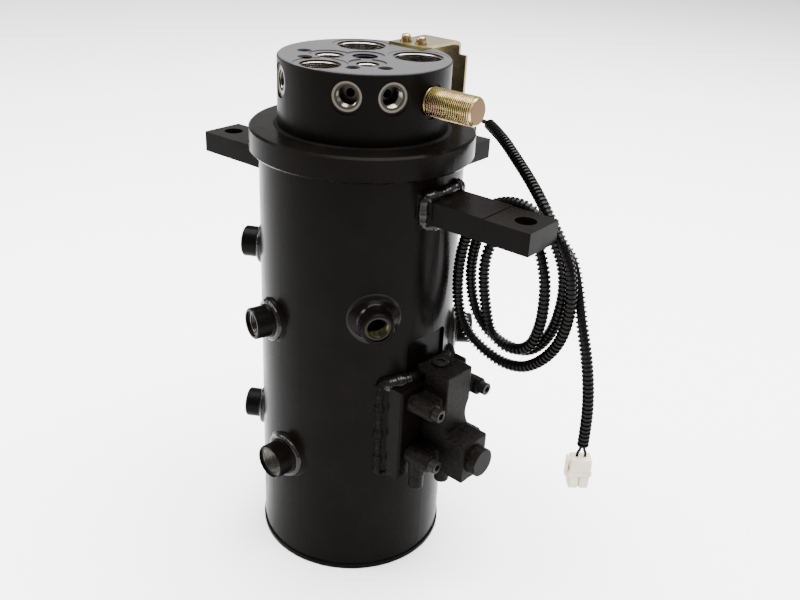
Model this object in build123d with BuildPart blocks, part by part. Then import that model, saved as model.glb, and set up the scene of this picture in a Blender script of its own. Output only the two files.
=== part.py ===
"""Hydraulic swivel: a ported rotor that turns in a welded housing with three mounting lugs.

The origin is on the swivel's axis, in the plane of its base. +Z points up the axis and +X along the front
lug. All sizes are in millimetres.
"""

import os
from math import asin, atan, cos, degrees, pi, radians, sin, sqrt, tan
from typing import NamedTuple

from build123d import *

os.makedirs("parts", exist_ok=True)

# Housing barrel and its collar
barrel_radius = 100.0
barrel_wall = 20.0
barrel_top = 441.0
collar_step = 9.3
collar_thickness = 24.0
collar_chamfer = 2.0

# Base cover and the cavity above it
cover_lip = 1.5
cover_thickness = 6.0
cover_spigot = 6.0
cover_chamfer = 1.0
cavity_step = 6.0
cavity_height = 28.0
cover_screw_count = 8
cover_screw_radius = 3.0
cover_screw_length = 20.0
cover_ring_radius = 1.5

# Rotor head and stem
head_overhang = 2.0
head_height = 64.3
head_chamfer = 1.6
head_gap = 1.5
stem_clearance = 0.4
running_clearance = 0.06
ring_gap = 0.3
seat_gap = 0.05

# Levels of the ring channels in the housing's bore
upper_level = 329.5
second_level = 305.0
third_level = 278.0
fourth_level = 248.0
valve_level = 190.0
lower_level = 130.5
raised_boss_rise = 2.5
lowered_boss_drop = 2.2

# Rings in the housing's bore
end_seal_distance = 17.5
guide_inset = 41.0
guide_depth = 3.0
guide_width = 15.0
seal_depth = 5.5
seal_width = 7.0
channel_width = 13.0
channel_depth = 5.0
wiper_width = 8.0
wiper_depth = 6.0
wiper_lip = 1.0

# Retaining plate under the stem
plate_gap = 1.5
plate_thickness = 16.0
thrust_thickness = 3.7
plate_bolt_count = 6
plate_bolt_radius = 6.0
plate_bolt_inset = 21.6
plate_bolt_length = 18.0
plate_bolt_head = 9.0
plate_bolt_relief = 2.0

# Mounting lugs
front_reach = 109.5
rear_reach = 106.0
side_reach = 92.0
lug_width = 48.6
lug_thickness = 22.0
lug_drop = 21.8
lug_hole_radius = 10.0
lug_hole_edge = 19.5
lug_seat_length = 48.5
lug_seat_step = 0.6
lug_chamfer = 0.8
lug_weld = 8.0

# Port bosses on the barrel
boss_radius = 16.0
boss_bore = 10.2
large_boss_radius = 18.3
large_boss_bore = 13.9
boss_reach = 22.0
boss_seat = 6.0
boss_weld = 6.5
boss_chamfer = 1.2
port_recess = 2.0
port_lip = 2.6
port_floor = 4.0
drill_radius = 6.0
drill_step = 0.5
drill_runout = 1.5

# Ports in the head's side and the drive stud between them
side_port_drop = 20.8
side_port_radius = 9.5
side_port_depth = 16.5
side_port_mouth = 13.4
side_port_spot = 16.0
side_drill = 4.0
side_flat = 1.5
mouth_depth = 0.6
gallery_inset = 24.0
gallery_radius = 5.0
gallery_mouth = 7.0
gallery_land = 1.0
plug_recess = 3.0
stud_radius = 13.5
stud_reach = 49.0
stud_seat = 22.0
stud_shank = 12.0
stud_drop = 28.3
stud_chamfer = 1.8

# Folded bracket on the head
sheet = 3.0
bracket_width = 42.0
bracket_leg_width = 60.0
bracket_overlap = 22.0
bracket_gap = 12.7
bracket_shoulder = 14.0
bracket_leg_length = 89.8
bracket_bend = 4.0
bracket_screw_spacing = 19.0
bracket_screw_setback = 12.5
bracket_screw_radius = 3.0
bracket_screw_length = 14.0
bracket_screw_head = 4.9
bracket_screw_head_height = 6.0
bracket_washer_radius = 6.0
bracket_washer = 1.6

# Valve and the block that carries it, out along and across the valve's own facing
valve_facing = -3.0
block_half_width = 51.0
block_reach = 12.0
block_below = 60.0
block_above = 42.0
block_weld = 8.0
block_chamfer = 2.0
pocket_half_width = 28.0
pocket_depth = 7.0
pocket_height = 69.0
pocket_overlap = 26.0
pocket_corner = 8.0
valve_half_width = 19.2
valve_depth = 30.0
valve_rise = 16.7
nose_reach = 10.0
valve_nose_gap = 1.0
valve_corner = 2.5
lower_reach = 25.5
lower_drop = 7.6
lower_height = 44.4
ear_radius = 9.0
ear_spacing_across = 72.8
ear_spacing_up = 60.0
ear_offset = 2.5
ear_web = 12.0
ear_web_setback = 6.0
valve_bolt_radius = 4.0
valve_bolt_seat = 16.0
valve_bolt_head = 6.5
valve_bolt_head_height = 8.0
bolt_play = 0.5
cap_radius = 15.0
cap_length = 11.3
cap_shank = 10.0
cap_seat = 16.0
top_plug_radius = 8.5
top_plug_height = 3.5
top_plug_shank = 6.0
top_plug_setback = 26.0
top_plug_rim = 2.0
top_plug_spot = 1.0
foot_plug_radius = 7.5
foot_plug_length = 15.0
foot_shank = 5.0
foot_radius = 8.5
foot_drop = 12.0
foot_reach = 12.0
toe_setback = 6.0
toe_across = 10.0

# Conduit, its wires and its connector
conduit_radius = 5.5
wire_radius = 1.4
wire_pitch = 2.0
gland_azimuth = 65.0
gland_level = 427.0
gland_seat = 3.0
gland_flats = 7.0
gland_nut = 6.0
gland_dome = 8.0
gland_mouth = 5.0
gland_shank = 5.0
gland_shank_length = 7.0
coil_centre_out = 166.5
coil_centre_up = 337.5
coil_half_width = 66.5
coil_half_height = 88.5
coil_eye_half_width = 27.0
coil_eye_half_height = 52.5
coil_depth = 35.0
coil_edge = 5.0
connector_width = 24.0
connector_depth = 15.0
connector_height = 34.0
connector_neck = 14.0
connector_step = 1.5
connector_corner = 3.0
connector_turn = 40.6
latch_thickness = 2.2
latch_length = 22.0
wire_spread = 4.0
wire_drop = 12.0
wire_seat = 6.0

# Worked out from the sizes above
bore_radius = barrel_radius - barrel_wall
collar_radius = barrel_radius + collar_step
collar_top = barrel_top + collar_thickness
cover_radius = barrel_radius + cover_lip
head_bottom = collar_top + head_gap
head_top = head_bottom + head_height
head_radius = bore_radius + head_overhang
stem_radius = bore_radius - stem_clearance
cavity_radius = bore_radius + cavity_step
cavity_bottom = cover_thickness + cover_spigot
cavity_top = cavity_bottom + cavity_height
stem_bottom = cavity_top - ring_gap - thrust_thickness
plate_radius = cavity_radius - plate_gap
plate_bottom = stem_bottom - plate_thickness
plate_bolt_circle = stem_radius - plate_bolt_inset
cover_circle = (cavity_radius + barrel_radius) / 2
wiper_seat = collar_top + wiper_lip - wiper_width
boss_face = barrel_radius + boss_reach
socket_floor = barrel_radius - boss_seat
side_port_level = head_top - side_port_drop
side_port_face = head_radius - side_flat
gallery_circle = head_radius - gallery_inset
gallery_mouth_depth = side_port_drop - side_port_radius - gallery_land
stud_level = head_top - stud_drop
lug_top = barrel_top - lug_drop
lug_middle = lug_top - lug_thickness / 2
bracket_start = head_radius - bracket_overlap
bracket_leg_face = collar_radius + bracket_gap
bracket_top = head_top + sheet
bracket_leg_end = bracket_top - bracket_leg_length
bracket_screw_line = bracket_start + bracket_screw_setback
block_face = barrel_radius + block_reach
block_bottom = valve_level - block_below
block_top = valve_level + block_above
pocket_floor = barrel_radius - pocket_depth
pocket_bottom = block_top - pocket_overlap
pocket_top = pocket_bottom + pocket_height
valve_face = block_face + valve_depth
valve_top = block_top + valve_rise
valve_nose = block_face - nose_reach
nose_bottom = block_top + block_weld + valve_nose_gap
lower_face = valve_face + lower_reach
lower_top = valve_level - lower_drop
lower_bottom = lower_top - lower_height
ear_middle = valve_level - ear_offset
foot_out = block_face + foot_reach
toe_out = valve_face - toe_setback
gland_floor = barrel_radius - gland_seat
gland_end = gland_floor + gland_nut + gland_dome
coil_front = lug_width / 2 + ring_gap


class Port(NamedTuple):
    """A welded port boss on the barrel: where it stands and how wide it and its bore are."""

    azimuth: float
    level: float
    radius: float
    bore: float


class Lug(NamedTuple):
    """A mounting lug: its name, its direction and the radius of its tip."""

    name: str
    azimuth: float
    tip: float


class TopPort(NamedTuple):
    """A port in the head's top, with the gallery that runs from it down to a channel's level."""

    azimuth: float
    circle: float
    radius: float
    depth: float
    spot: float
    spot_depth: float
    gallery: float
    level: float


ports = [
    Port(-151.5, upper_level, boss_radius, boss_bore),
    Port(-40.0, second_level, boss_radius, boss_bore),
    Port(-107.6, third_level, boss_radius, boss_bore),
    Port(40.0, fourth_level, boss_radius, boss_bore),
    Port(-150.0, lower_level + raised_boss_rise, boss_radius, boss_bore),
    Port(-94.3, lower_level - lowered_boss_drop, large_boss_radius, large_boss_bore),
]
lugs = [
    Lug("lug_front", 0.0, barrel_radius + front_reach),
    Lug("lug_rear", 180.0, barrel_radius + rear_reach),
    Lug("lug_side", 90.0, barrel_radius + side_reach),
]
channel_levels = [upper_level, second_level, third_level, fourth_level, valve_level, lower_level]
seal_levels = [
    upper_level + end_seal_distance,
    (upper_level + second_level) / 2,
    (second_level + third_level) / 2,
    (third_level + fourth_level) / 2,
    (fourth_level + valve_level) / 2,
    (valve_level + lower_level) / 2,
    lower_level - end_seal_distance,
]
guide_levels = [barrel_top - guide_inset, cavity_top + guide_inset]
top_ports = [
    TopPort(45.0, head_radius - 32.0, 23.8, 34.0, 29.0, 0.4, 12.0, lower_level),
    TopPort(135.0, head_radius - 32.0, 23.8, 33.0, 29.0, 0.6, 12.0, valve_level),
    TopPort(-90.5, head_radius - 22.0, 18.7, 30.0, 25.0, 0.8, 9.0, fourth_level),
    TopPort(-135.0, head_radius - 49.0, 13.5, 27.0, 19.5, 1.0, 7.0, third_level),
    TopPort(0.0, 0.0, 12.2, 25.0, 18.5, 1.2, 7.0, upper_level),
    TopPort(-45.0, head_radius - 47.5, 10.6, 23.0, 17.5, 1.4, 6.0, second_level),
]
side_ports = {-31.0: second_level, -60.0: fourth_level, -120.0: third_level, -149.0: upper_level}

# Route of the conduit from its upper end to the coil, and from the coil to its lower end
conduit_route = [
    (66.2, 119.9, 457.3),
    (93.0, 102.2, 454.4),
    (125.6, 80.6, 443.2),
    (154.5, 61.5, 432.9),
    (179.0, 45.5, 421.0),
    (197.0, 38.0, 405.5),
]
tail_route = [
    (222.5, 37.0, 361.0),
    (231.8, 37.8, 341.0),
    (240.6, 37.0, 318.0),
    (248.8, 36.4, 293.5),
    (254.8, 36.8, 267.0),
    (258.4, 37.4, 240.0),
    (259.6, 37.2, 216.0),
    (259.5, 37.3, 195.8),
]
# Middle of the pair of wires from the gland to the conduit, and the side on which each one lies
wire_route = [
    (53.3, 114.3, 427.3),
    (52.2, 128.6, 434.0),
    (44.6, 134.6, 447.3),
    (49.2, 131.6, 461.0),
    (65.7, 120.2, 457.4),
]
wire_sides = [
    (0.81, -0.38, 0.45),
    (0.81, -0.19, 0.55),
    (0.81, -0.19, 0.55),
    (0.59, 0.8, -0.02),
    (0.57, 0.82, -0.01),
    (0.57, 0.82, -0.01),
]


def radial_plane(azimuth, level, radius):
    """Plane square to a radius, with its x direction level and its normal outward."""
    angle = radians(azimuth)
    return Plane(
        origin=(radius * cos(angle), radius * sin(angle), level),
        x_dir=(-sin(angle), cos(angle), 0),
        z_dir=(cos(angle), sin(angle), 0),
    )


def level_plane(azimuth, level):
    """Level plane whose x direction points out along an azimuth."""
    angle = radians(azimuth)
    return Plane(origin=(0, 0, level), x_dir=(cos(angle), sin(angle), 0), z_dir=(0, 0, 1))


def upright_plane(azimuth):
    """Upright plane through the swivel's axis: x out along an azimuth and y up the axis."""
    angle = radians(azimuth)
    return Plane(origin=(0, 0, 0), x_dir=(cos(angle), sin(angle), 0), z_dir=(sin(angle), -cos(angle), 0))


def polar(azimuth, radius):
    """A point in a level plane from its azimuth and radius."""
    return radius * cos(radians(azimuth)), radius * sin(radians(azimuth))


def outer_face(body, plane):
    """The face of a body that lies farthest along a plane's normal."""
    return body.faces().sort_by(Axis(plane.origin, plane.z_dir))[-1]


def finish(part, label):
    """Label a finished piece and write it to its STEP file."""
    part.label = label
    export_step(part, f"parts/{label}.step")


def ring(label, inner, outer, bottom, top):
    """Write a plain ring about the swivel's axis."""
    with BuildPart() as body:
        with BuildSketch(Plane.XY.offset(bottom)):
            Circle(outer)
            Circle(inner, mode=Mode.SUBTRACT)
        extrude(amount=top - bottom)
    finish(body.part, label)


def socket_screw(plane, shank, length, head, head_height):
    """A socket head screw whose head stands on a plane and whose shank runs down behind it."""
    with BuildPart() as screw:
        with BuildSketch(plane):
            Circle(head)
        extrude(amount=head_height)
        chamfer(outer_face(screw, plane).edges(), 0.08 * head)
        with BuildSketch(plane):
            Circle(shank)
        extrude(amount=-length)
        with BuildSketch(plane.offset(head_height)):
            RegularPolygon(0.58 * head, 6)
        extrude(amount=-0.5 * head_height, mode=Mode.SUBTRACT)
    return screw.part


def round_plug(plane, shank, length, head, head_height):
    """A plug with a plain rounded head that stands on a plane and a shank that runs down behind it."""
    with BuildPart() as plug:
        with BuildSketch(plane):
            Circle(head)
        extrude(amount=head_height)
        fillet(outer_face(plug, plane).edges(), 0.4 * head)
        with BuildSketch(plane):
            Circle(shank)
        extrude(amount=-length)
    return plug.part


def tube(route, radius):
    """A round tube along straight runs joined by tangent arcs, and the radii of those arcs."""
    points = [Vector(*point) for point in route]
    runs = [second - first for first, second in zip(points, points[1:])]
    radii = []
    for before, after in zip(runs, runs[1:]):
        half_turn = radians(before.get_angle(after)) / 2
        radii.append(0.45 * min(before.length, after.length) / tan(half_turn))
    with BuildPart() as body:
        with BuildLine() as path:
            FilletPolyline(*route, radius=radii)
        with BuildSketch(Plane(origin=path.wires()[0] @ 0, z_dir=path.wires()[0] % 0)):
            Circle(radius)
        sweep(path=path.wires()[0])
    length = path.wires()[0].length
    bends = " ".join(f"{bend:.0f}" for bend in radii)
    share = body.part.volume / (pi * radius**2 * length)
    print(f"tube of {length:.0f} mm, bend radii {bends}, volume over section times length {share:.4f}")
    return body.part


def make_barrel():
    """The housing barrel with its collar, bore grooves, sockets, drillings and milled pocket."""
    with BuildPart() as body:
        with BuildSketch(Plane.XZ):
            with BuildLine():
                Polyline(
                    (cavity_radius, cover_thickness),
                    (barrel_radius, cover_thickness),
                    (barrel_radius, barrel_top),
                    (collar_radius, barrel_top),
                    (collar_radius, collar_top),
                    (bore_radius + wiper_depth, collar_top),
                    (bore_radius + wiper_depth, wiper_seat),
                    (bore_radius, wiper_seat),
                    (bore_radius, cavity_top),
                    (cavity_radius, cavity_top),
                    close=True,
                )
            make_face()
        revolve(axis=Axis.Z)
        rims = body.edges().filter_by(GeomType.CIRCLE)
        chamfer(rims.filter_by(lambda rim: abs(rim.radius - collar_radius) < seat_gap), collar_chamfer)
        for levels, width, depth in (
            (channel_levels, channel_width, channel_depth),
            (seal_levels, seal_width, seal_depth),
            (guide_levels, guide_width, guide_depth),
        ):
            with BuildSketch(Plane.XZ):
                for level in levels:
                    with Locations((bore_radius, level)):
                        Rectangle(2 * depth, width)
            revolve(axis=Axis.Z, mode=Mode.SUBTRACT)
        for port in ports:
            with BuildSketch(radial_plane(port.azimuth, port.level, socket_floor)):
                Circle(port.radius + seat_gap)
            extrude(amount=boss_seat, mode=Mode.SUBTRACT)
            with BuildSketch(radial_plane(port.azimuth, port.level, bore_radius)):
                Circle(drill_radius)
            extrude(amount=boss_seat + barrel_radius - bore_radius, mode=Mode.SUBTRACT)
        with BuildSketch(radial_plane(valve_facing, (pocket_top + pocket_bottom) / 2, pocket_floor)):
            RectangleRounded(2 * pocket_half_width, pocket_top - pocket_bottom, pocket_corner)
        extrude(amount=barrel_radius - pocket_floor, mode=Mode.SUBTRACT)
        with BuildSketch(radial_plane(valve_facing, valve_level, bore_radius)):
            Circle(drill_radius)
        extrude(amount=barrel_radius - bore_radius + 1, mode=Mode.SUBTRACT)
        with BuildSketch(Plane.XY.offset(cover_thickness)):
            with PolarLocations(cover_circle, cover_screw_count):
                Circle(cover_screw_radius + seat_gap)
        extrude(amount=cover_screw_length - cover_thickness + 1, mode=Mode.SUBTRACT)
        with BuildSketch(radial_plane(gland_azimuth, gland_level, gland_floor)):
            Circle(gland_flats / cos(radians(30)) + ring_gap)
        extrude(amount=gland_seat + 1, mode=Mode.SUBTRACT)
        with BuildSketch(radial_plane(gland_azimuth, gland_level, gland_floor)):
            Circle(gland_shank + seat_gap)
        extrude(amount=-gland_shank_length - 1, mode=Mode.SUBTRACT)
    finish(body.part, "housing_barrel")


def make_base_cover():
    """The base cover, its sealing ring and the countersunk screws that hold it."""
    groove_circle = cavity_radius - cover_ring_radius
    groove_level = cover_thickness + cover_spigot / 2
    with BuildPart() as body:
        with BuildSketch(Plane.XY):
            Circle(cover_radius)
        extrude(amount=cover_thickness)
        chamfer(body.edges().filter_by(GeomType.CIRCLE), cover_chamfer)
        with BuildSketch(Plane.XY.offset(cover_thickness)):
            Circle(cavity_radius - seat_gap)
        extrude(amount=cover_spigot)
        with BuildSketch(Plane.XZ):
            with Locations((cavity_radius, groove_level)):
                Rectangle(4 * cover_ring_radius + 2 * seat_gap, 2.4 * cover_ring_radius)
        revolve(axis=Axis.Z, mode=Mode.SUBTRACT)
        with BuildSketch(Plane.XY):
            with PolarLocations(cover_circle, cover_screw_count):
                Circle(cover_screw_radius + bolt_play)
        extrude(amount=cover_thickness, mode=Mode.SUBTRACT)
        with BuildSketch(Plane.XY):
            with PolarLocations(cover_circle, cover_screw_count):
                Circle(2 * cover_screw_radius + seat_gap)
        extrude(amount=cover_screw_radius, taper=45, mode=Mode.SUBTRACT)
    finish(body.part, "base_cover")

    with BuildPart() as seal:
        with BuildSketch(Plane.XZ):
            with Locations((groove_circle, groove_level)):
                Circle(cover_ring_radius - seat_gap)
        revolve(axis=Axis.Z)
    finish(seal.part, "base_cover_seal")

    with BuildPart() as screws:
        with BuildSketch(Plane.XY):
            with PolarLocations(cover_circle, cover_screw_count):
                Circle(2 * cover_screw_radius)
        extrude(amount=cover_screw_radius, taper=45)
        with BuildSketch(Plane.XY):
            with PolarLocations(cover_circle, cover_screw_count):
                Circle(cover_screw_radius)
        extrude(amount=cover_screw_length)
        with BuildSketch(Plane.XY):
            with PolarLocations(cover_circle, cover_screw_count):
                RegularPolygon(0.75 * cover_screw_radius, 6)
        extrude(amount=0.8 * cover_screw_radius, mode=Mode.SUBTRACT)
    finish(screws.part, "base_cover_screws")


def make_bore_rings():
    """The rotary seals, guide rings and wiper that stay in the housing's bore."""
    for number, level in enumerate(seal_levels, 1):
        ring(
            f"rotary_seal_{number}",
            stem_radius + ring_gap,
            bore_radius + seal_depth - seat_gap,
            level - seal_width / 2 + seat_gap,
            level + seal_width / 2 - seat_gap,
        )
    for name, level in zip(("guide_ring_upper", "guide_ring_lower"), guide_levels):
        ring(
            name,
            stem_radius + running_clearance,
            bore_radius + guide_depth - seat_gap,
            level - guide_width / 2 + seat_gap,
            level + guide_width / 2 - seat_gap,
        )
    lip_radius = stem_radius + ring_gap
    with BuildPart() as wiper:
        with BuildSketch(Plane.XZ):
            with BuildLine():
                Polyline(
                    (lip_radius + wiper_lip, wiper_seat),
                    (bore_radius + wiper_depth - seat_gap, wiper_seat),
                    (bore_radius + wiper_depth - seat_gap, collar_top),
                    (lip_radius + 2 * wiper_lip, collar_top + wiper_lip),
                    (lip_radius, collar_top + wiper_lip),
                    (lip_radius, collar_top - 2 * wiper_lip),
                    close=True,
                )
            make_face()
        revolve(axis=Axis.Z)
    finish(wiper.part, "wiper_seal")


def make_lug(lug):
    """A flat mounting lug with the weld fillet round its root."""
    root = sqrt(barrel_radius**2 - (lug_width / 2 + lug_weld) ** 2)
    skirt = barrel_radius + 0.75 * lug_weld - root
    with BuildPart() as body:
        with BuildSketch(radial_plane(lug.azimuth, lug_middle, root)):
            Rectangle(lug_width + 2 * lug_weld, lug_thickness + 2 * lug_weld)
        extrude(amount=skirt, taper=degrees(atan(lug_weld / skirt)))
        with BuildSketch(level_plane(lug.azimuth, lug_top - lug_thickness)):
            with Locations(((root + lug.tip) / 2, 0)):
                Rectangle(lug.tip - root, lug_width)
        extrude(amount=lug_thickness)
        tip_face = outer_face(body, radial_plane(lug.azimuth, lug_middle, lug.tip))
        chamfer(tip_face.edges().filter_by(Axis.Z), lug_chamfer)
        with BuildSketch(level_plane(lug.azimuth, lug_top)):
            with Locations((lug.tip - lug_seat_length / 2, 0)):
                Rectangle(lug_seat_length, lug_width)
        extrude(amount=-lug_seat_step, mode=Mode.SUBTRACT)
        with BuildSketch(level_plane(lug.azimuth, lug_top)):
            with Locations((lug.tip - lug_hole_edge, 0)):
                Circle(lug_hole_radius)
        extrude(amount=-lug_thickness, mode=Mode.SUBTRACT)
        with BuildSketch(Plane.XY.offset(lug_middle)):
            Circle(barrel_radius + seat_gap)
        extrude(amount=lug_thickness / 2 + skirt, both=True, mode=Mode.SUBTRACT)
    finish(body.part, lug.name)


def make_port_boss(number, port):
    """A turned port boss in its socket, with the weld fillet round it, a recess, a bore and a drilling."""
    skirt = 2 * boss_weld
    root = barrel_radius + boss_weld - skirt
    face_plane = radial_plane(port.azimuth, port.level, boss_face)
    with BuildPart() as body:
        with BuildSketch(radial_plane(port.azimuth, port.level, root)):
            Circle(port.radius + skirt)
        extrude(amount=skirt, taper=45)
        with BuildSketch(Plane.XY.offset(port.level)):
            Circle(barrel_radius + seat_gap)
        extrude(amount=port.radius + skirt, both=True, mode=Mode.SUBTRACT)
        with BuildSketch(radial_plane(port.azimuth, port.level, socket_floor)):
            Circle(port.radius)
        extrude(amount=boss_face - socket_floor)
        chamfer(outer_face(body, face_plane).edges(), boss_chamfer)
        with BuildSketch(face_plane):
            Circle(port.bore + port_lip)
        extrude(amount=-port_recess, mode=Mode.SUBTRACT)
        with BuildSketch(face_plane):
            Circle(port.bore)
        extrude(amount=socket_floor + port_floor - boss_face, mode=Mode.SUBTRACT)
        with BuildSketch(face_plane):
            Circle(drill_radius)
        extrude(amount=socket_floor - boss_face, mode=Mode.SUBTRACT)
    finish(body.part, f"port_boss_{number}")


def make_rotor():
    """The rotor: head and stem in one, with its top and side ports and the galleries that they feed."""
    with BuildPart() as body:
        with BuildSketch(Plane.XZ):
            with BuildLine():
                Polyline(
                    (0, stem_bottom),
                    (stem_radius, stem_bottom),
                    (stem_radius, head_bottom),
                    (head_radius, head_bottom),
                    (head_radius, head_top),
                    (0, head_top),
                    close=True,
                )
            make_face()
        revolve(axis=Axis.Z)
        chamfer(body.edges().filter_by(GeomType.CIRCLE).sort_by(Axis.Z)[-1], head_chamfer)
        for port in top_ports:
            with BuildSketch(Plane.XY.offset(head_top)):
                with Locations(polar(port.azimuth, port.circle)):
                    Circle(port.spot)
            extrude(amount=-port.spot_depth, mode=Mode.SUBTRACT)
        for port in top_ports:
            centre = polar(port.azimuth, port.circle)
            with BuildSketch(Plane.XY.offset(head_top)):
                with Locations(centre):
                    Circle(port.radius)
            extrude(amount=-port.depth, mode=Mode.SUBTRACT)
            way_out = min(port.gallery - drill_step, drill_radius)
            with BuildSketch(Plane.XY.offset(head_top)):
                with Locations(centre):
                    Circle(port.gallery)
            extrude(amount=port.level - way_out - drill_runout - head_top, mode=Mode.SUBTRACT)
            with BuildSketch(radial_plane(port.azimuth, port.level, port.circle)):
                Circle(way_out)
            extrude(amount=stem_radius - port.circle + 1, mode=Mode.SUBTRACT)
        for azimuth, level in side_ports.items():
            face_plane = radial_plane(azimuth, side_port_level, side_port_face)
            with BuildSketch(face_plane):
                Circle(side_port_spot)
            extrude(amount=side_flat + 1, mode=Mode.SUBTRACT)
            with BuildSketch(face_plane):
                Circle(side_port_mouth)
            extrude(amount=-mouth_depth, mode=Mode.SUBTRACT)
            with BuildSketch(face_plane):
                Circle(side_port_radius)
            extrude(amount=-side_port_depth, mode=Mode.SUBTRACT)
            with BuildSketch(face_plane):
                Circle(side_drill)
            extrude(amount=gallery_circle - side_port_face, mode=Mode.SUBTRACT)
            with BuildSketch(Plane.XY.offset(head_top)):
                with Locations(polar(azimuth, gallery_circle)):
                    Circle(gallery_mouth)
            extrude(amount=-gallery_mouth_depth, mode=Mode.SUBTRACT)
            with BuildSketch(Plane.XY.offset(head_top)):
                with Locations(polar(azimuth, gallery_circle)):
                    Circle(gallery_radius)
            extrude(amount=level - gallery_radius - drill_runout - head_top, mode=Mode.SUBTRACT)
            with BuildSketch(radial_plane(azimuth, level, gallery_circle)):
                Circle(gallery_radius - drill_step)
            extrude(amount=stem_radius - gallery_circle + 1, mode=Mode.SUBTRACT)
        with BuildSketch(radial_plane(0, stud_level, side_port_face)):
            Circle(side_port_spot)
        extrude(amount=side_flat + 1, mode=Mode.SUBTRACT)
        with BuildSketch(radial_plane(0, stud_level, side_port_face)):
            Circle(stud_shank + seat_gap)
        extrude(amount=-stud_seat, mode=Mode.SUBTRACT)
        with BuildSketch(Plane.XY.offset(head_top)):
            with Locations((0, bracket_screw_line)):
                with GridLocations(bracket_screw_spacing, 0, 2, 1):
                    Circle(bracket_screw_radius + seat_gap)
        extrude(amount=-bracket_screw_length, mode=Mode.SUBTRACT)
        with BuildSketch(Plane.XY.offset(stem_bottom)):
            with PolarLocations(plate_bolt_circle, plate_bolt_count):
                Circle(plate_bolt_radius + seat_gap)
        extrude(amount=plate_bolt_length + plate_bolt_relief, mode=Mode.SUBTRACT)
    finish(body.part, "rotor")


def make_gallery_plugs():
    """The socket plugs that close the galleries above the side ports."""
    top = head_top - plug_recess
    with BuildPart() as plugs:
        with BuildSketch(Plane.XY.offset(top)):
            for azimuth in side_ports:
                with Locations(polar(azimuth, gallery_circle)):
                    Circle(gallery_mouth - seat_gap)
        extrude(amount=plug_recess - gallery_mouth_depth)
        with BuildSketch(Plane.XY.offset(top)):
            for azimuth in side_ports:
                with Locations(polar(azimuth, gallery_circle)):
                    RegularPolygon(0.55 * gallery_mouth, 6)
        extrude(amount=-0.5 * gallery_mouth, mode=Mode.SUBTRACT)
    finish(plugs.part, "gallery_plugs")


def make_drive_stud():
    """The stud that drives the head, screwed into its side."""
    tip_plane = radial_plane(0, stud_level, head_radius + stud_reach)
    with BuildPart() as stud:
        with BuildSketch(radial_plane(0, stud_level, side_port_face)):
            Circle(stud_radius)
        extrude(amount=side_flat + stud_reach)
        chamfer(outer_face(stud, tip_plane).edges(), stud_chamfer)
        with BuildSketch(radial_plane(0, stud_level, side_port_face)):
            Circle(stud_shank)
        extrude(amount=-stud_seat)
    finish(stud.part, "drive_stud")


def make_bracket():
    """The folded bracket on the head, with a leg that widens below a shoulder, and its screws."""
    leg_back = bracket_leg_face + sheet
    notch = (bracket_leg_width - bracket_width) / 2
    with BuildPart() as body:
        with BuildSketch(Plane.YZ) as section:
            with BuildLine():
                Polyline(
                    (bracket_start, head_top),
                    (bracket_leg_face, head_top),
                    (bracket_leg_face, bracket_leg_end),
                    (leg_back, bracket_leg_end),
                    (leg_back, bracket_top),
                    (bracket_start, bracket_top),
                    close=True,
                )
            make_face()
            inner = section.vertices().sort_by_distance((bracket_leg_face, head_top))[0]
            fillet(inner, bracket_bend)
            outer = section.vertices().sort_by_distance((leg_back, bracket_top))[0]
            fillet(outer, bracket_bend + sheet)
        extrude(amount=bracket_leg_width / 2, both=True)
        with BuildSketch(Plane.XY.offset(bracket_top)):
            with Locations((0, (bracket_start + leg_back) / 2)):
                with GridLocations(bracket_width + notch, 0, 2, 1):
                    Rectangle(notch, leg_back - bracket_start)
        extrude(amount=-bracket_shoulder, mode=Mode.SUBTRACT)
        with BuildSketch(Plane.XY.offset(bracket_top)):
            with Locations((0, bracket_screw_line)):
                with GridLocations(bracket_screw_spacing, 0, 2, 1):
                    Circle(bracket_screw_radius + bolt_play)
        extrude(amount=-sheet, mode=Mode.SUBTRACT)
        fillet(body.edges().filter_by(Axis.Y).group_by(Axis.Z)[0], 2 * sheet)
    finish(body.part, "bracket")

    screw_places = [(side * bracket_screw_spacing / 2, bracket_screw_line) for side in (-1, 1)]
    with BuildPart() as washers:
        with BuildSketch(Plane.XY.offset(bracket_top)):
            with Locations(*screw_places):
                Circle(bracket_washer_radius)
                Circle(bracket_screw_radius + bolt_play, mode=Mode.SUBTRACT)
        extrude(amount=bracket_washer)
    finish(washers.part, "bracket_washers")

    seat = bracket_top + bracket_washer
    grip = sheet + bracket_washer
    with BuildPart() as screws:
        for across, along in screw_places:
            add(
                socket_screw(
                    Plane(origin=(across, along, seat)),
                    bracket_screw_radius,
                    bracket_screw_length + grip - 1,
                    bracket_screw_head,
                    bracket_screw_head_height,
                )
            )
    finish(screws.part, "bracket_screws")


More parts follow.
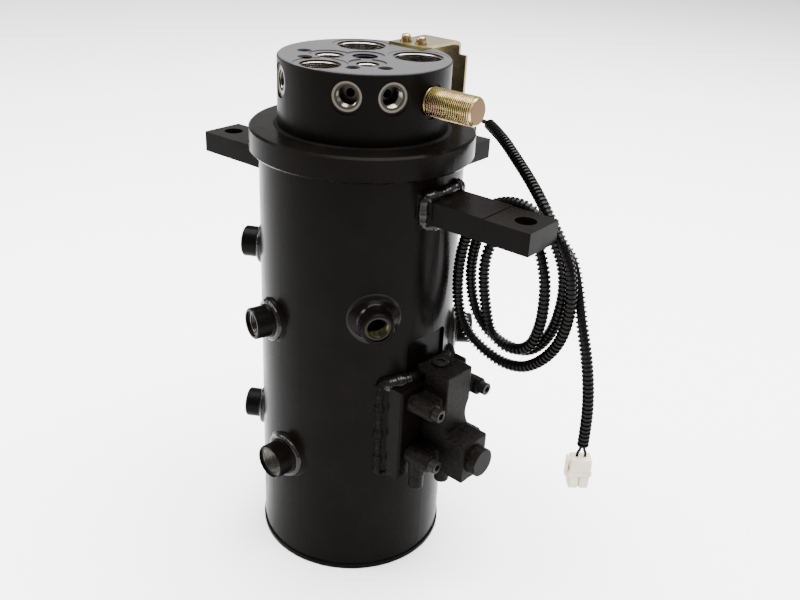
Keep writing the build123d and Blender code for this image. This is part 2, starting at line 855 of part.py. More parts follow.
def make_retainer():
    """The retaining plate under the stem, its bolts and the thrust washer above it."""
    ring("thrust_washer", stem_radius + seat_gap, plate_radius, stem_bottom, stem_bottom + thrust_thickness)
    head_depth = 2 * plate_bolt_radius
    with BuildPart() as plate:
        with BuildSketch(Plane.XY.offset(plate_bottom)):
            Circle(plate_radius)
            with PolarLocations(plate_bolt_circle, plate_bolt_count):
                Circle(plate_bolt_radius + bolt_play, mode=Mode.SUBTRACT)
        extrude(amount=plate_thickness)
        with BuildSketch(Plane.XY.offset(plate_bottom)):
            with PolarLocations(plate_bolt_circle, plate_bolt_count):
                Circle(plate_bolt_head + bolt_play)
        extrude(amount=head_depth, mode=Mode.SUBTRACT)
    finish(plate.part, "retaining_plate")

    grip = plate_thickness - head_depth
    with BuildPart() as bolts:
        for turn in range(plate_bolt_count):
            across, along = polar(turn * 360 / plate_bolt_count, plate_bolt_circle)
            seat = Plane(origin=(across, along, plate_bottom + head_depth), z_dir=(0, 0, -1))
            add(socket_screw(seat, plate_bolt_radius, plate_bolt_length + grip, plate_bolt_head, head_depth))
    finish(bolts.part, "retaining_bolts")


def ear_places():
    """Where the valve's four bolts stand, across the valve's facing and up the axis."""
    return [
        (across * ear_spacing_across / 2, ear_middle + up * ear_spacing_up / 2)
        for across in (-1, 1)
        for up in (-1, 1)
    ]


def make_valve_block():
    """The block that carries the valve, with its weld fillets against the barrel."""
    middle = (block_top + block_bottom) / 2
    height = block_top - block_bottom
    start = barrel_radius / 2
    side_out = sqrt(barrel_radius**2 - block_half_width**2)
    bead_across = block_half_width + block_weld
    bead_out = sqrt(barrel_radius**2 - bead_across**2)
    half_arc = degrees(asin(block_half_width / barrel_radius))
    with BuildPart() as body:
        with BuildSketch(radial_plane(valve_facing, middle, start)):
            Rectangle(2 * block_half_width, height)
        extrude(amount=block_face - start)
        front = outer_face(body, radial_plane(valve_facing, middle, block_face))
        chamfer(front.edges(), block_chamfer)
        for side in (-1, 1):
            with BuildSketch(level_plane(valve_facing, block_bottom)):
                with BuildLine():
                    Polyline(
                        (start, side * (block_half_width - 1)),
                        (side_out + block_weld, side * (block_half_width - 1)),
                        (side_out + block_weld, side * block_half_width),
                        (bead_out, side * bead_across),
                        (start, side * bead_across),
                        close=True,
                    )
                make_face()
            extrude(amount=height)
        for edge, rise in ((block_top, 1), (block_bottom, -1)):
            with BuildSketch(upright_plane(valve_facing - half_arc)):
                with BuildLine():
                    Polyline(
                        (start, edge - rise),
                        (barrel_radius + block_weld, edge - rise),
                        (barrel_radius + block_weld, edge),
                        (barrel_radius, edge + rise * block_weld),
                        (start, edge + rise * block_weld),
                        close=True,
                    )
                make_face()
            revolve(axis=Axis.Z, revolution_arc=2 * half_arc)
        with BuildSketch(Plane.XY.offset(middle)):
            Circle(barrel_radius + seat_gap)
        extrude(amount=height, both=True, mode=Mode.SUBTRACT)
        for port in ports:
            with BuildSketch(radial_plane(port.azimuth, port.level, start)):
                Circle(port.radius + 2 * boss_weld)
            extrude(amount=boss_face - start, mode=Mode.SUBTRACT)
        for across, level in ear_places():
            with BuildSketch(radial_plane(valve_facing, level, block_face)):
                with Locations((across, 0)):
                    Circle(valve_bolt_radius + seat_gap)
            extrude(amount=-valve_bolt_seat, mode=Mode.SUBTRACT)
        with BuildSketch(radial_plane(valve_facing, valve_level, block_face)):
            Circle(drill_radius)
        extrude(amount=start - block_face, mode=Mode.SUBTRACT)
    finish(body.part, "valve_block")


def make_valve_body():
    """The cast valve body with its four bolting ears, lower block and feet."""
    lower_middle = (lower_top + lower_bottom) / 2
    top_plane = level_plane(valve_facing, valve_top)
    with BuildPart() as body:
        with BuildSketch(level_plane(valve_facing, lower_middle)):
            with Locations(((block_face + valve_face) / 2, 0)):
                Rectangle(valve_face - block_face, 2 * valve_half_width)
        extrude(amount=valve_top - lower_middle)
        with BuildSketch(top_plane):
            with Locations(((valve_nose + valve_face) / 2, 0)):
                Rectangle(valve_face - valve_nose, 2 * valve_half_width)
        extrude(amount=nose_bottom - valve_top)
        with BuildSketch(radial_plane(valve_facing, lower_middle, block_face)):
            RectangleRounded(2 * valve_half_width, lower_top - lower_bottom, valve_corner)
        extrude(amount=lower_face - block_face)
        for across, level in ear_places():
            with BuildSketch(radial_plane(valve_facing, level, block_face)):
                with Locations((across, 0)):
                    Circle(ear_radius)
            extrude(amount=valve_face - block_face)
            with BuildSketch(radial_plane(valve_facing, level, block_face)):
                with Locations((across / 2, 0)):
                    Rectangle(abs(across), ear_web)
            extrude(amount=valve_face - block_face - ear_web_setback)
        foot_level = ear_places()[0][1]
        with BuildSketch(level_plane(valve_facing, foot_level)):
            with Locations((foot_out, ear_places()[0][0])):
                Circle(foot_radius)
        extrude(amount=-ear_radius - foot_drop)
        for across, level in ear_places():
            with BuildSketch(radial_plane(valve_facing, level, block_face)):
                with Locations((across, 0)):
                    Circle(valve_bolt_radius + bolt_play)
            extrude(amount=valve_face - block_face, mode=Mode.SUBTRACT)
        with BuildSketch(radial_plane(valve_facing, lower_middle, lower_face)):
            Circle(cap_shank + seat_gap)
        extrude(amount=-cap_seat - 1, mode=Mode.SUBTRACT)
        with BuildSketch(top_plane):
            with Locations((valve_face - top_plug_setback, 0)):
                Circle(top_plug_radius + top_plug_rim)
        extrude(amount=-top_plug_spot, mode=Mode.SUBTRACT)
        with BuildSketch(top_plane):
            with Locations((valve_face - top_plug_setback, 0)):
                Circle(top_plug_shank + seat_gap)
        extrude(amount=-3 * top_plug_shank, mode=Mode.SUBTRACT)
        for place, level in foot_plug_places():
            with BuildSketch(level_plane(valve_facing, level)):
                with Locations(place):
                    Circle(foot_shank + seat_gap)
            extrude(amount=foot_drop + 1, mode=Mode.SUBTRACT)
    finish(body.part, "valve_body")


def foot_plug_places():
    """Place of each plug under the valve, and the level of the face on which it seats."""
    foot = (foot_out, ear_places()[0][0])
    foot_level = ear_places()[0][1] - ear_radius - foot_drop
    return [(foot, foot_level), ((toe_out, -toe_across), lower_bottom)]


def make_valve_fittings():
    """The valve's bolts, end cap, top plug and the two plugs under it."""
    with BuildPart() as bolts:
        for across, level in ear_places():
            seat = radial_plane(valve_facing, level, valve_face)
            centre = seat.from_local_coords((across, 0, 0))
            plane = Plane(origin=centre, x_dir=seat.x_dir, z_dir=seat.z_dir)
            length = valve_face - block_face + valve_bolt_seat - 1
            add(socket_screw(plane, valve_bolt_radius, length, valve_bolt_head, valve_bolt_head_height))
    finish(bolts.part, "valve_bolts")

    cap_plane = radial_plane(valve_facing, (lower_top + lower_bottom) / 2, lower_face)
    with BuildPart() as cap:
        with BuildSketch(cap_plane):
            Circle(cap_radius)
        extrude(amount=cap_length)
        chamfer(outer_face(cap, cap_plane).edges(), 0.05 * cap_radius)
        with BuildSketch(cap_plane):
            Circle(cap_shank)
        extrude(amount=-cap_seat)
    finish(cap.part, "valve_cap")

    out, across = polar(valve_facing, valve_face - top_plug_setback)
    seat = Plane(origin=(out, across, valve_top - top_plug_spot))
    plug = socket_screw(seat, top_plug_shank, 2.5 * top_plug_shank, top_plug_radius, top_plug_height)
    finish(plug, "valve_top_plug")

    with BuildPart() as plugs:
        for place, level in foot_plug_places():
            centre = level_plane(valve_facing, level).from_local_coords((place[0], place[1], 0))
            seat = Plane(origin=centre, z_dir=(0, 0, -1))
            add(round_plug(seat, foot_shank, foot_drop, foot_plug_radius, foot_plug_length))
    finish(plugs.part, "valve_foot_plugs")


def make_cable_gland():
    """The gland through which the wires leave the barrel under its collar."""
    seat = radial_plane(gland_azimuth, gland_level, gland_floor)
    with BuildPart() as gland:
        with BuildSketch(seat):
            RegularPolygon(gland_flats, 6, major_radius=False)
        extrude(amount=gland_nut)
        with BuildSketch(seat.offset(gland_nut)):
            Circle(gland_flats - ring_gap)
        extrude(amount=gland_dome, taper=degrees(atan((gland_flats - ring_gap - gland_mouth) / gland_dome)))
        with BuildSketch(seat):
            Circle(gland_shank)
        extrude(amount=-gland_shank_length)
    finish(gland.part, "cable_gland")


def make_conduit():
    """The conduit in its three stretches, and the wires from the gland to its upper end."""
    finish(tube(conduit_route, conduit_radius), "conduit_upper")
    finish(tube(tail_route, conduit_radius), "conduit_tail")

    with BuildPart() as coil:
        with BuildSketch(Plane(origin=(0, coil_front, 0), x_dir=(1, 0, 0), z_dir=(0, -1, 0))):
            with Locations((coil_centre_out, coil_centre_up)):
                Ellipse(coil_half_width, coil_half_height)
                Ellipse(coil_eye_half_width, coil_eye_half_height, mode=Mode.SUBTRACT)
        extrude(amount=-coil_depth)
        chamfer(coil.faces().filter_by(Axis.Y).edges(), coil_edge)
    finish(coil.part, "conduit_coil")

    gland_point = radial_plane(gland_azimuth, gland_level, gland_end + seat_gap).origin
    middle = [(gland_point.X, gland_point.Y, gland_point.Z)] + wire_route
    for name, side in (("wire_upper_a", wire_pitch), ("wire_upper_b", -wire_pitch)):
        route = [
            tuple(place + side * step for place, step in zip(point, away))
            for point, away in zip(middle, wire_sides)
        ]
        finish(tube(route, wire_radius), name)


def make_connector():
    """The two-way connector below the conduit's lower end, with its latch and the two wires into it."""
    end_out, end_along, end_level = tail_route[-1]
    top_level = end_level - wire_drop
    turn = radians(connector_turn)
    across = (cos(turn), sin(turn), 0)
    facing = (sin(turn), -cos(turn), 0)
    middle = Plane(origin=(end_out, end_along, top_level), x_dir=across, z_dir=facing)
    level = Plane(origin=(end_out, end_along, top_level), x_dir=across, z_dir=(0, 0, 1))
    with BuildPart() as body:
        with BuildSketch(level):
            RectangleRounded(connector_width - 2 * connector_step, connector_depth, connector_corner)
        extrude(amount=-connector_height)
        with BuildSketch(level.offset(-connector_neck)):
            RectangleRounded(connector_width, connector_depth, connector_corner)
        extrude(amount=-connector_neck / 2)
        with BuildSketch(middle):
            with Locations((-connector_width / 2, -latch_length / 2)):
                Rectangle(2 * latch_thickness, latch_length)
        extrude(amount=connector_depth / 4, both=True)
        for side in (-1, 1):
            with BuildSketch(level):
                with Locations((side * wire_spread, 0)):
                    Circle(wire_radius + seat_gap)
            extrude(amount=-wire_seat, mode=Mode.SUBTRACT)
    finish(body.part, "connector")

    for name, side in (("wire_lower_a", -1), ("wire_lower_b", 1)):
        foot = (end_out + side * wire_spread * across[0], end_along + side * wire_spread * across[1])
        head = (end_out + side * wire_pitch * across[0], end_along + side * wire_pitch * across[1])
        route = [
            (head[0], head[1], end_level - ring_gap),
            (head[0], head[1], end_level - wire_drop / 3),
            (foot[0], foot[1], top_level + wire_drop / 3),
            (foot[0], foot[1], top_level - wire_seat + seat_gap),
        ]
        finish(tube(route, wire_radius), name)


make_barrel()
make_base_cover()
make_bore_rings()
for lug in lugs:
    make_lug(lug)
for number, port in enumerate(ports, 1):
    make_port_boss(number, port)
make_rotor()
make_gallery_plugs()
make_drive_stud()
make_bracket()
make_retainer()
make_valve_block()
make_valve_body()
make_valve_fittings()
make_cable_gland()
make_conduit()
make_connector()
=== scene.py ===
"""Looks of the hydraulic swivel: finishes, welds, threads, rounded castings and the corrugated conduit."""

import logging
import math
from dataclasses import dataclass, field
from enum import Enum
from typing import Optional, Sequence, Union

import bmesh
import bpy
from mathutils import Matrix, Vector

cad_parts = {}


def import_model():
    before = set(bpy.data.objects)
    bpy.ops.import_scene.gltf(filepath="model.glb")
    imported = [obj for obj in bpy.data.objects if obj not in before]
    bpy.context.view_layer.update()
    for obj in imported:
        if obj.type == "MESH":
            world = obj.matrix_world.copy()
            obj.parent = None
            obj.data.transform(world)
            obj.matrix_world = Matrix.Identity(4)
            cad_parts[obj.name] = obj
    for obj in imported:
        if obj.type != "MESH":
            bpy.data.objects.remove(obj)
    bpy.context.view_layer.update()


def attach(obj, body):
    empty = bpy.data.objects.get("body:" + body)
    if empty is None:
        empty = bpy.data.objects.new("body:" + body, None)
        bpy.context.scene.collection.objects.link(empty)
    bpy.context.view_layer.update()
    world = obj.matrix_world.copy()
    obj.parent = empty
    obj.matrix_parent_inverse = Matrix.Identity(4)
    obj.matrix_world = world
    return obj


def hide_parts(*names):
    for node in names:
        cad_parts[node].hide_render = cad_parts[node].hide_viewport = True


LOG = logging.getLogger("swivel")
MM = 0.001
Mesh = bmesh.types.BMesh
Material = bpy.types.Material
Colour = tuple[float, float, float]
Place = tuple[float, float, float]
Profile = Sequence[tuple[float, float]]
Number = Union[float, "Signal"]
Shade = Union[Colour, "Signal"]
ALONG_X: Place = (1.0, 0.0, 0.0)
UP: Place = (0.0, 0.0, 1.0)
# Half the width of a mask's edge, in metres
CRISP = 0.0001
SOFT = 0.0002


class Body(Enum):
    """The rigid bodies that pieces ride on."""

    HOUSING = "housing"
    ROTOR = "rotor"


class Slot(Enum):
    """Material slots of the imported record."""

    PAINT = "black_paint"
    CASTING = "black_casting"
    ZINC = "yellow_zinc"
    STEEL = "plain_steel"
    PLASTIC = "black_plastic"
    WHITE = "white_plastic"


class Signal:
    """A value that runs through a material's nodes, with Python's operators for its maths."""

    def __init__(self, sheet: "NodeSheet", socket: bpy.types.NodeSocket) -> None:
        """Keep the sheet of nodes and the socket that the value comes from."""
        self.sheet = sheet
        self.socket = socket

    def _maths(self, operation: str, first: Number, second: Number) -> "Signal":
        """The result of one Math node."""
        return self.sheet.signal("ShaderNodeMath", {"operation": operation}, {0: first, 1: second})

    def __add__(self, other: Number) -> "Signal":
        """Sum."""
        return self._maths("ADD", self, other)

    def __radd__(self, other: Number) -> "Signal":
        """Sum, with the signal on the right."""
        return self._maths("ADD", other, self)

    def __sub__(self, other: Number) -> "Signal":
        """Difference."""
        return self._maths("SUBTRACT", self, other)

    def __rsub__(self, other: Number) -> "Signal":
        """Difference, with the signal on the right."""
        return self._maths("SUBTRACT", other, self)

    def __mul__(self, other: Number) -> "Signal":
        """Product."""
        return self._maths("MULTIPLY", self, other)

    def __rmul__(self, other: Number) -> "Signal":
        """Product, with the signal on the right."""
        return self._maths("MULTIPLY", other, self)

    def larger(self, other: Number) -> "Signal":
        """The larger of two values."""
        return self._maths("MAXIMUM", self, other)

    def below(self, limit: float, soft: float) -> "Signal":
        """One where the value is under a limit and zero above it.

        Args:
            limit: The value at the middle of the edge.
            soft: Half the width of the edge.

        Returns:
            The mask.
        """
        return self.sheet.signal(
            "ShaderNodeMapRange",
            {"clamp": True},
            {"Value": self, "From Min": limit - soft, "From Max": limit + soft, "To Min": 1.0, "To Max": 0.0},
        )


class NodeSheet:
    """The nodes of one material."""

    def __init__(self, name: str) -> None:
        """Make an empty material that reads Object coordinates."""
        self.material = bpy.data.materials.new(name)
        self.material.use_nodes = True
        self.tree = self.material.node_tree
        self.tree.nodes.clear()
        self.where = self.signal("ShaderNodeTexCoord", {}, {}, "Object")

    def node(self, kind: str, settings: dict, inputs: dict) -> bpy.types.Node:
        """Make a node.

        Args:
            kind: The node's type.
            settings: Attributes that are set before its sockets.
            inputs: Socket name or number to a value, colour or signal.

        Returns:
            The node.
        """
        made = self.tree.nodes.new(kind)
        for name, value in settings.items():
            setattr(made, name, value)
        for name, value in inputs.items():
            socket = made.inputs[name]
            if isinstance(value, Signal):
                self.tree.links.new(value.socket, socket)
            elif socket.type == "RGBA":
                socket.default_value = (*value, 1.0)
            else:
                socket.default_value = value
        return made

    def signal(self, kind: str, settings: dict, inputs: dict, output: Union[int, str] = 0) -> Signal:
        """Make a node and return one of its outputs."""
        return Signal(self, self.node(kind, settings, inputs).outputs[output])

    def noise(self, scale: float, detail: float = 3.0, stretch: Place = (1.0, 1.0, 1.0)) -> Signal:
        """Noise over Object coordinates.

        Args:
            scale: Features to the metre.
            detail: Octaves.
            stretch: Scale along each axis.

        Returns:
            The noise, about 0.5.
        """
        mapped = self.signal("ShaderNodeMapping", {}, {"Vector": self.where, "Scale": stretch})
        return self.signal("ShaderNodeTexNoise", {}, {"Vector": mapped, "Scale": scale, "Detail": detail})

    def blend(self, share: Number, first: Shade, second: Shade) -> Signal:
        """A colour between two others, from the colour sockets of a mixing node."""
        return self.signal("ShaderNodeMix", {"data_type": "RGBA"}, {0: share, 6: first, 7: second}, 2)

    def spread(self, value: Signal, low: float = 0.35, high: float = 0.65) -> Signal:
        """A value stretched so that a noise's usual range fills 0 to 1."""
        inputs = {"Value": value, "From Min": low, "From Max": high}
        return self.signal("ShaderNodeMapRange", {"clamp": True}, inputs)

    def _vectors(self, operation: str, first: Signal, second: Place, output: Union[int, str] = 0) -> Signal:
        """The result of one Vector Math node."""
        return self.signal("ShaderNodeVectorMath", {"operation": operation}, {0: first, 1: second}, output)

    def from_line(self, point: Place, axis: Place) -> Signal:
        """Distance of each point of the surface from a line.

        Args:
            point: A point of the line, in metres.
            axis: Unit vector along the line.

        Returns:
            The distance, in metres.
        """
        arm = self._vectors("SUBTRACT", self.where, point)
        cross = self._vectors("CROSS_PRODUCT", arm, axis)
        return self.signal("ShaderNodeVectorMath", {"operation": "LENGTH"}, {0: cross}, "Value")

    def along(self, axis: Place) -> Signal:
        """How far each point of the surface lies along a direction, in metres."""
        return self._vectors("DOT_PRODUCT", self.where, axis, "Value")

    def close(
        self,
        colour: Shade,
        roughness: Number,
        metallic: Number = 0.0,
        height: Optional[Signal] = None,
        depth: float = 0.0,
        sheen: float = 0.5,
    ) -> Material:
        """Finish the material with its surface shader.

        Args:
            colour: Base colour.
            roughness: Roughness.
            metallic: Zero for paint and plastic, one for bare metal.
            height: Relief, 0 to 1.
            depth: Depth of that relief, in metres.
            sheen: Strength of the reflection of a surface that isn't metal.

        Returns:
            The material.
        """
        inputs = {
            "Specular IOR Level": sheen, "Base Color": colour, "Roughness": roughness, "Metallic": metallic,
        }
        if height is not None:
            inputs["Normal"] = self.signal(
                "ShaderNodeBump", {}, {"Height": height, "Distance": depth, "Strength": 1.0}
            )
        shader = self.signal("ShaderNodeBsdfPrincipled", {}, inputs)
        self.node("ShaderNodeOutputMaterial", {}, {"Surface": shader})
        return self.material


@dataclass(frozen=True)
class Paint:
    """Sprayed paint or moulded plastic: two close shades, a fine grain and uneven gloss."""

    name: str
    dark: Colour
    light: Colour
    roughness: float
    grain: float = 900.0
    depth: float = 0.00003
    uneven: float = 0.14
    sheen: float = 0.022
    patch: float = 22.0
    smudge: float = 70.0
    streak: Place = (1.0, 1.0, 0.35)

    def material(self) -> Material:
        """Build the material.

        Returns:
            The material.
        """
        sheet = NodeSheet(self.name)
        colour = sheet.blend(sheet.spread(sheet.noise(self.patch, 5.0)), self.dark, self.light)
        grain = sheet.noise(self.grain)
        smudges = sheet.noise(self.smudge, 4.0, self.streak)
        gloss = self.roughness + (smudges - 0.5) * (2 * self.uneven)
        return sheet.close(colour, gloss, 0.0, grain, self.depth, self.sheen)


@dataclass(frozen=True)
class Casting:
    """Rough cast iron under thin black paint."""

    name: str
    dark: Colour = (0.0014, 0.0011, 0.0009)
    light: Colour = (0.0052, 0.0043, 0.0037)
    roughness: float = 0.5
    uneven: float = 0.3
    sheen: float = 0.03
    coarse: float = 420.0
    fine: float = 1500.0
    fine_share: float = 0.3
    depth: float = 0.0003

    def material(self) -> Material:
        """Build the material.

        Returns:
            The material.
        """
        sheet = NodeSheet(self.name)
        coarse = sheet.noise(self.coarse, 5.0)
        fine = sheet.noise(self.fine, 2.0)
        relief = coarse * (1 - self.fine_share) + fine * self.fine_share
        colour = sheet.blend(sheet.spread(coarse), self.dark, self.light)
        gloss = self.roughness + (fine - 0.5) * self.uneven
        return sheet.close(colour, gloss, 0.0, relief, self.depth, self.sheen)


@dataclass(frozen=True)
class Metal:
    """Bare or plated metal: tinted in patches, with fine machining marks."""

    name: str
    shades: tuple[Colour, Colour]
    roughness: float
    patch: float = 60.0
    marks: float = 1200.0
    uneven: float = 0.25
    depth: float = 0.00002

    def material(self) -> Material:
        """Build the material.

        Returns:
            The material.
        """
        sheet = NodeSheet(self.name)
        colour = sheet.blend(sheet.spread(sheet.noise(self.patch)), *self.shades)
        marks = sheet.noise(self.marks, 2.0)
        gloss = self.roughness + (marks - 0.5) * self.uneven
        return sheet.close(colour, gloss, 1.0, marks, self.depth)


@dataclass(frozen=True)
class Zinc:
    """Yellow zinc plating: three tints that run into one another over a bright metal."""

    name: str
    shades: tuple[Colour, Colour, Colour]
    roughness: float
    patch: float
    grain: float = 1100.0
    uneven: float = 0.2
    depth: float = 0.00001

    def tint(self, sheet: NodeSheet) -> Signal:
        """Colour of the plating.

        Args:
            sheet: The material's nodes.

        Returns:
            The colour.
        """
        first = sheet.spread(sheet.noise(self.patch, 2.0), 0.38, 0.62)
        second = sheet.spread(sheet.noise(self.patch * 0.6, 2.0, (1.4, 0.8, 1.1)), 0.48, 0.68)
        return sheet.blend(second, sheet.blend(first, self.shades[0], self.shades[1]), self.shades[2])

    def material(self) -> Material:
        """Build the material.

        Returns:
            The material.
        """
        sheet = NodeSheet(self.name)
        grain = sheet.noise(self.grain, 2.0)
        gloss = self.roughness + (grain - 0.5) * self.uneven
        return sheet.close(self.tint(sheet), gloss, 1.0, grain, self.depth)


@dataclass(frozen=True)
class StudZinc(Zinc):
    """The stud's plating, with painted shade in the grooves of its thread and a brown end. Lengths in metres.
    """

    axis_level: float = 0.5025
    groove: float = 0.01305
    soft: float = 0.0003
    thread_start: float = 0.081
    thread_end: float = 0.129
    end: float = 0.1308
    # Colour of the painted shade in the thread's grooves
    groove_shade: Colour = (0.02, 0.015, 0.005)
    brown: Colour = (0.075, 0.039, 0.014)

    def tint(self, sheet: NodeSheet) -> Signal:
        """Colour of the plating, with the painted shade in the grooves and the brown end over it.

        Args:
            sheet: The material's nodes.

        Returns:
            The colour.
        """
        arm = sheet.from_line((0.0, 0.0, self.axis_level), ALONG_X)
        along = sheet.along(ALONG_X)
        in_groove = arm.below(self.groove, self.soft) * (1 - along.below(self.thread_start, SOFT))
        on_thread = in_groove * along.below(self.thread_end, SOFT)
        # Painted shade: the grooves of the thread are coloured darker
        colour = sheet.blend(on_thread, super().tint(sheet), self.groove_shade)
        return sheet.blend(1 - along.below(self.end, CRISP), colour, self.brown)


@dataclass(frozen=True)
class BarePort:
    """A port that the paint leaves bare from a start along its axis, with painted shade inside it, in metres.
    """

    point: Place
    axis: Place
    radius: float
    start: float
    # Radius about the axis within which the inside is coloured darker as painted shade
    inside: float = 0.0


@dataclass(frozen=True)
class PortedPaint:
    """Black paint with bare steel in its ports and under a level, painted shade inside its side ports, and a
    turned top painted lighter grey as a painted reflection, in metres.
    """

    name: str
    ports: tuple[BarePort, ...]
    bare_level: float = 0.0
    top_level: float = 9.0
    top_depth: float = 0.0018
    top_radius: float = 0.0812
    paint: Colour = (0.0015, 0.0011, 0.0009)
    # Painted reflection: the top's lighter grey stands in for the bright surroundings reflected in the same
    # black paint
    top: Colour = (0.045, 0.043, 0.045)
    steel: Colour = (0.075, 0.064, 0.052)
    # Colour of the painted shade inside the side ports
    painted_shade: Colour = (0.02, 0.0175, 0.015)
    roughness: float = 0.34
    top_duller: float = 0.08
    steel_brighter: float = 0.06
    uneven: float = 0.3
    patch: float = 45.0
    grain: float = 900.0
    marks: float = 260.0
    marks_share: float = 0.3
    depth: float = 0.00003
    sheen: float = 0.028

    def material(self) -> Material:
        """Build the material.

        Returns:
            The material.
        """
        sheet = NodeSheet(self.name)
        level = sheet.along(UP)
        bare = level.below(self.bare_level, SOFT)
        inside: Number = 0.0
        for port in self.ports:
            arm = sheet.from_line(port.point, port.axis)
            beyond = 1 - sheet.along(port.axis).below(port.start, SOFT)
            bare = bare.larger(arm.below(port.radius, CRISP) * beyond)
            # Painted shade: a darker colour deeper inside each side port
            inside = (arm.below(port.inside, SOFT) * beyond).larger(inside)
        near_axis = sheet.from_line((0.0, 0.0, 0.0), UP).below(self.top_radius, SOFT)
        top_with_painted_reflection = (1 - level.below(self.top_level - self.top_depth, CRISP)) * near_axis
        turned = sheet.signal(
            "ShaderNodeTexWave",
            {"wave_type": "RINGS", "rings_direction": "Z"},
            {"Vector": sheet.where, "Scale": self.marks, "Distortion": 1.5, "Detail": 2.0},
            "Fac",
        )
        patches = sheet.noise(self.patch, 5.0)
        grain = sheet.noise(self.grain)
        # Painted reflection: the turned top is coloured lighter grey than the paint
        skin = sheet.blend(top_with_painted_reflection, self.paint, self.top)
        # Bare steel, with painted shade deeper inside the side ports
        colour = sheet.blend(bare, skin, sheet.blend(inside, self.steel, self.painted_shade))
        gloss = self.roughness + (patches - 0.5) * self.uneven
        gloss = gloss + top_with_painted_reflection * self.top_duller - bare * self.steel_brighter
        relief = grain * (1 - self.marks_share) + turned * (top_with_painted_reflection * self.marks_share)
        return sheet.close(colour, gloss, bare, relief, self.depth, self.sheen)


def straight_tube(profile: Profile, sides: int, ring: bool = False) -> Mesh:
    """Spin a profile about X.

    Args:
        profile: Places along X and radii, in order from one end to the other.
        sides: Steps in the turn.
        ring: Whether the profile closes on itself, away from X.

    Returns:
        The turned mesh, with its doubles merged.
    """
    mesh = bmesh.new()
    chain = [mesh.verts.new((along, 0.0, radius)) for along, radius in profile]
    ends = chain[1:] + chain[:1] if ring else chain[1:]
    edges = [mesh.edges.new(pair) for pair in zip(chain, ends)]
    bmesh.ops.spin(
        mesh, geom=chain + edges, cent=(0, 0, 0), axis=(1, 0, 0), angle=math.tau, steps=sides, use_merge=True
    )
    bmesh.ops.remove_doubles(mesh, verts=mesh.verts, dist=1e-7)
    bmesh.ops.recalc_face_normals(mesh, faces=mesh.faces)
    return mesh


def in_metres(profile: Profile) -> Profile:
    """A profile in metres, from one in millimetres."""
    return [(along * MM, radius * MM) for along, radius in profile]


def ridge(start: float, pitch: float, shares: Sequence[float], low: float, top: float) -> Profile:
    """One ridge of a ribbed profile, which rises and falls at four shares of its pitch."""
    return [(start + share * pitch, radius) for share, radius in zip(shares, (low, top, top, low))]


@dataclass
class Line:
    """A line through space that a straight mesh can be bent along."""

    points: list[Vector]
    closed: bool = False
    reach: list[float] = field(default_factory=list)
    frames: list[tuple[Vector, Vector]] = field(default_factory=list)

    def __post_init__(self) -> None:
        """Measure the line and carry a frame along it without twist."""
        if self.closed:
            self.points = self.points + [self.points[0]]
        self.reach = [0.0]
        for first, second in zip(self.points, self.points[1:]):
            self.reach.append(self.reach[-1] + (second - first).length)
        tangents = [self._tangent(i) for i in range(len(self.points))]
        side = tangents[0].orthogonal().normalized()
        for i, tangent in enumerate(tangents):
            if i:
                side = tangents[i - 1].rotation_difference(tangent) @ side
            side = (side - tangent * side.dot(tangent)).normalized()
            self.frames.append((side, tangent.cross(side)))
        if self.closed:
            self._untwist(tangents[0])

    def _untwist(self, tangent: Vector) -> None:
        """Share out the turn that is left over where a closed line meets itself.

        Args:
            tangent: Direction of the line at that place.
        """
        first, last = self.frames[0][0], self.frames[-1][0]
        turn = math.atan2(last.cross(first).dot(tangent), last.dot(first))
        for i, (side, other) in enumerate(self.frames):
            angle = turn * self.reach[i] / self.length
            self.frames[i] = (
                side * math.cos(angle) + other * math.sin(angle),
                other * math.cos(angle) - side * math.sin(angle),
            )

    def _tangent(self, index: int) -> Vector:
        """Direction of the line at one of its points.

        Args:
            index: Number of the point.

        Returns:
            Unit vector along the line.
        """
        last = len(self.points) - 1
        if self.closed and index in (0, last):
            return (self.points[1] - self.points[last - 1]).normalized()
        return (self.points[min(index + 1, last)] - self.points[max(index - 1, 0)]).normalized()

    @property
    def length(self) -> float:
        """Length of the line."""
        return self.reach[-1]

    def bend(self, mesh: Mesh) -> None:
        """Move a mesh so that it follows the line.

        Args:
            mesh: A mesh that lies along X, from zero to the line's length.
        """
        stations = sorted(mesh.verts, key=lambda vertex: vertex.co.x)
        step = 0
        for vertex in stations:
            along = min(max(vertex.co.x, 0.0), self.length)
            while step < len(self.reach) - 2 and self.reach[step + 1] < along:
                step += 1
            share = (along - self.reach[step]) / (self.reach[step + 1] - self.reach[step])
            middle = self.points[step].lerp(self.points[step + 1], share)
            side = self.frames[step][0].lerp(self.frames[step + 1][0], share).normalized()
            other = self.frames[step][1].lerp(self.frames[step + 1][1], share).normalized()
            vertex.co = middle + side * vertex.co.y + other * vertex.co.z


def outward_matrix(point: Place, axis: Place) -> Matrix:
    """A place and turn that carries X onto an axis through a point."""
    turn = Vector(ALONG_X).rotation_difference(Vector(axis)).to_matrix().to_4x4()
    return Matrix.Translation(Vector(point)) @ turn


def polar(azimuth: float, radius: float, level: float) -> Vector:
    """A point of the row frame, in metres, from an angle in degrees and sizes in millimetres."""
    angle = math.radians(azimuth)
    return Vector((radius * math.cos(angle), radius * math.sin(angle), level)) * MM


def out(azimuth: float) -> Place:
    """Unit vector outward from the swivel's axis."""
    return (math.cos(math.radians(azimuth)), math.sin(math.radians(azimuth)), 0.0)


def stored(name: str, mesh: Mesh) -> bpy.types.Mesh:
    """Keep a mesh as data of the scene, and free it.

    Args:
        name: Name of the data.
        mesh: The mesh.

    Returns:
        The data.
    """
    data = bpy.data.meshes.new(name)
    mesh.to_mesh(data)
    mesh.free()
    return data


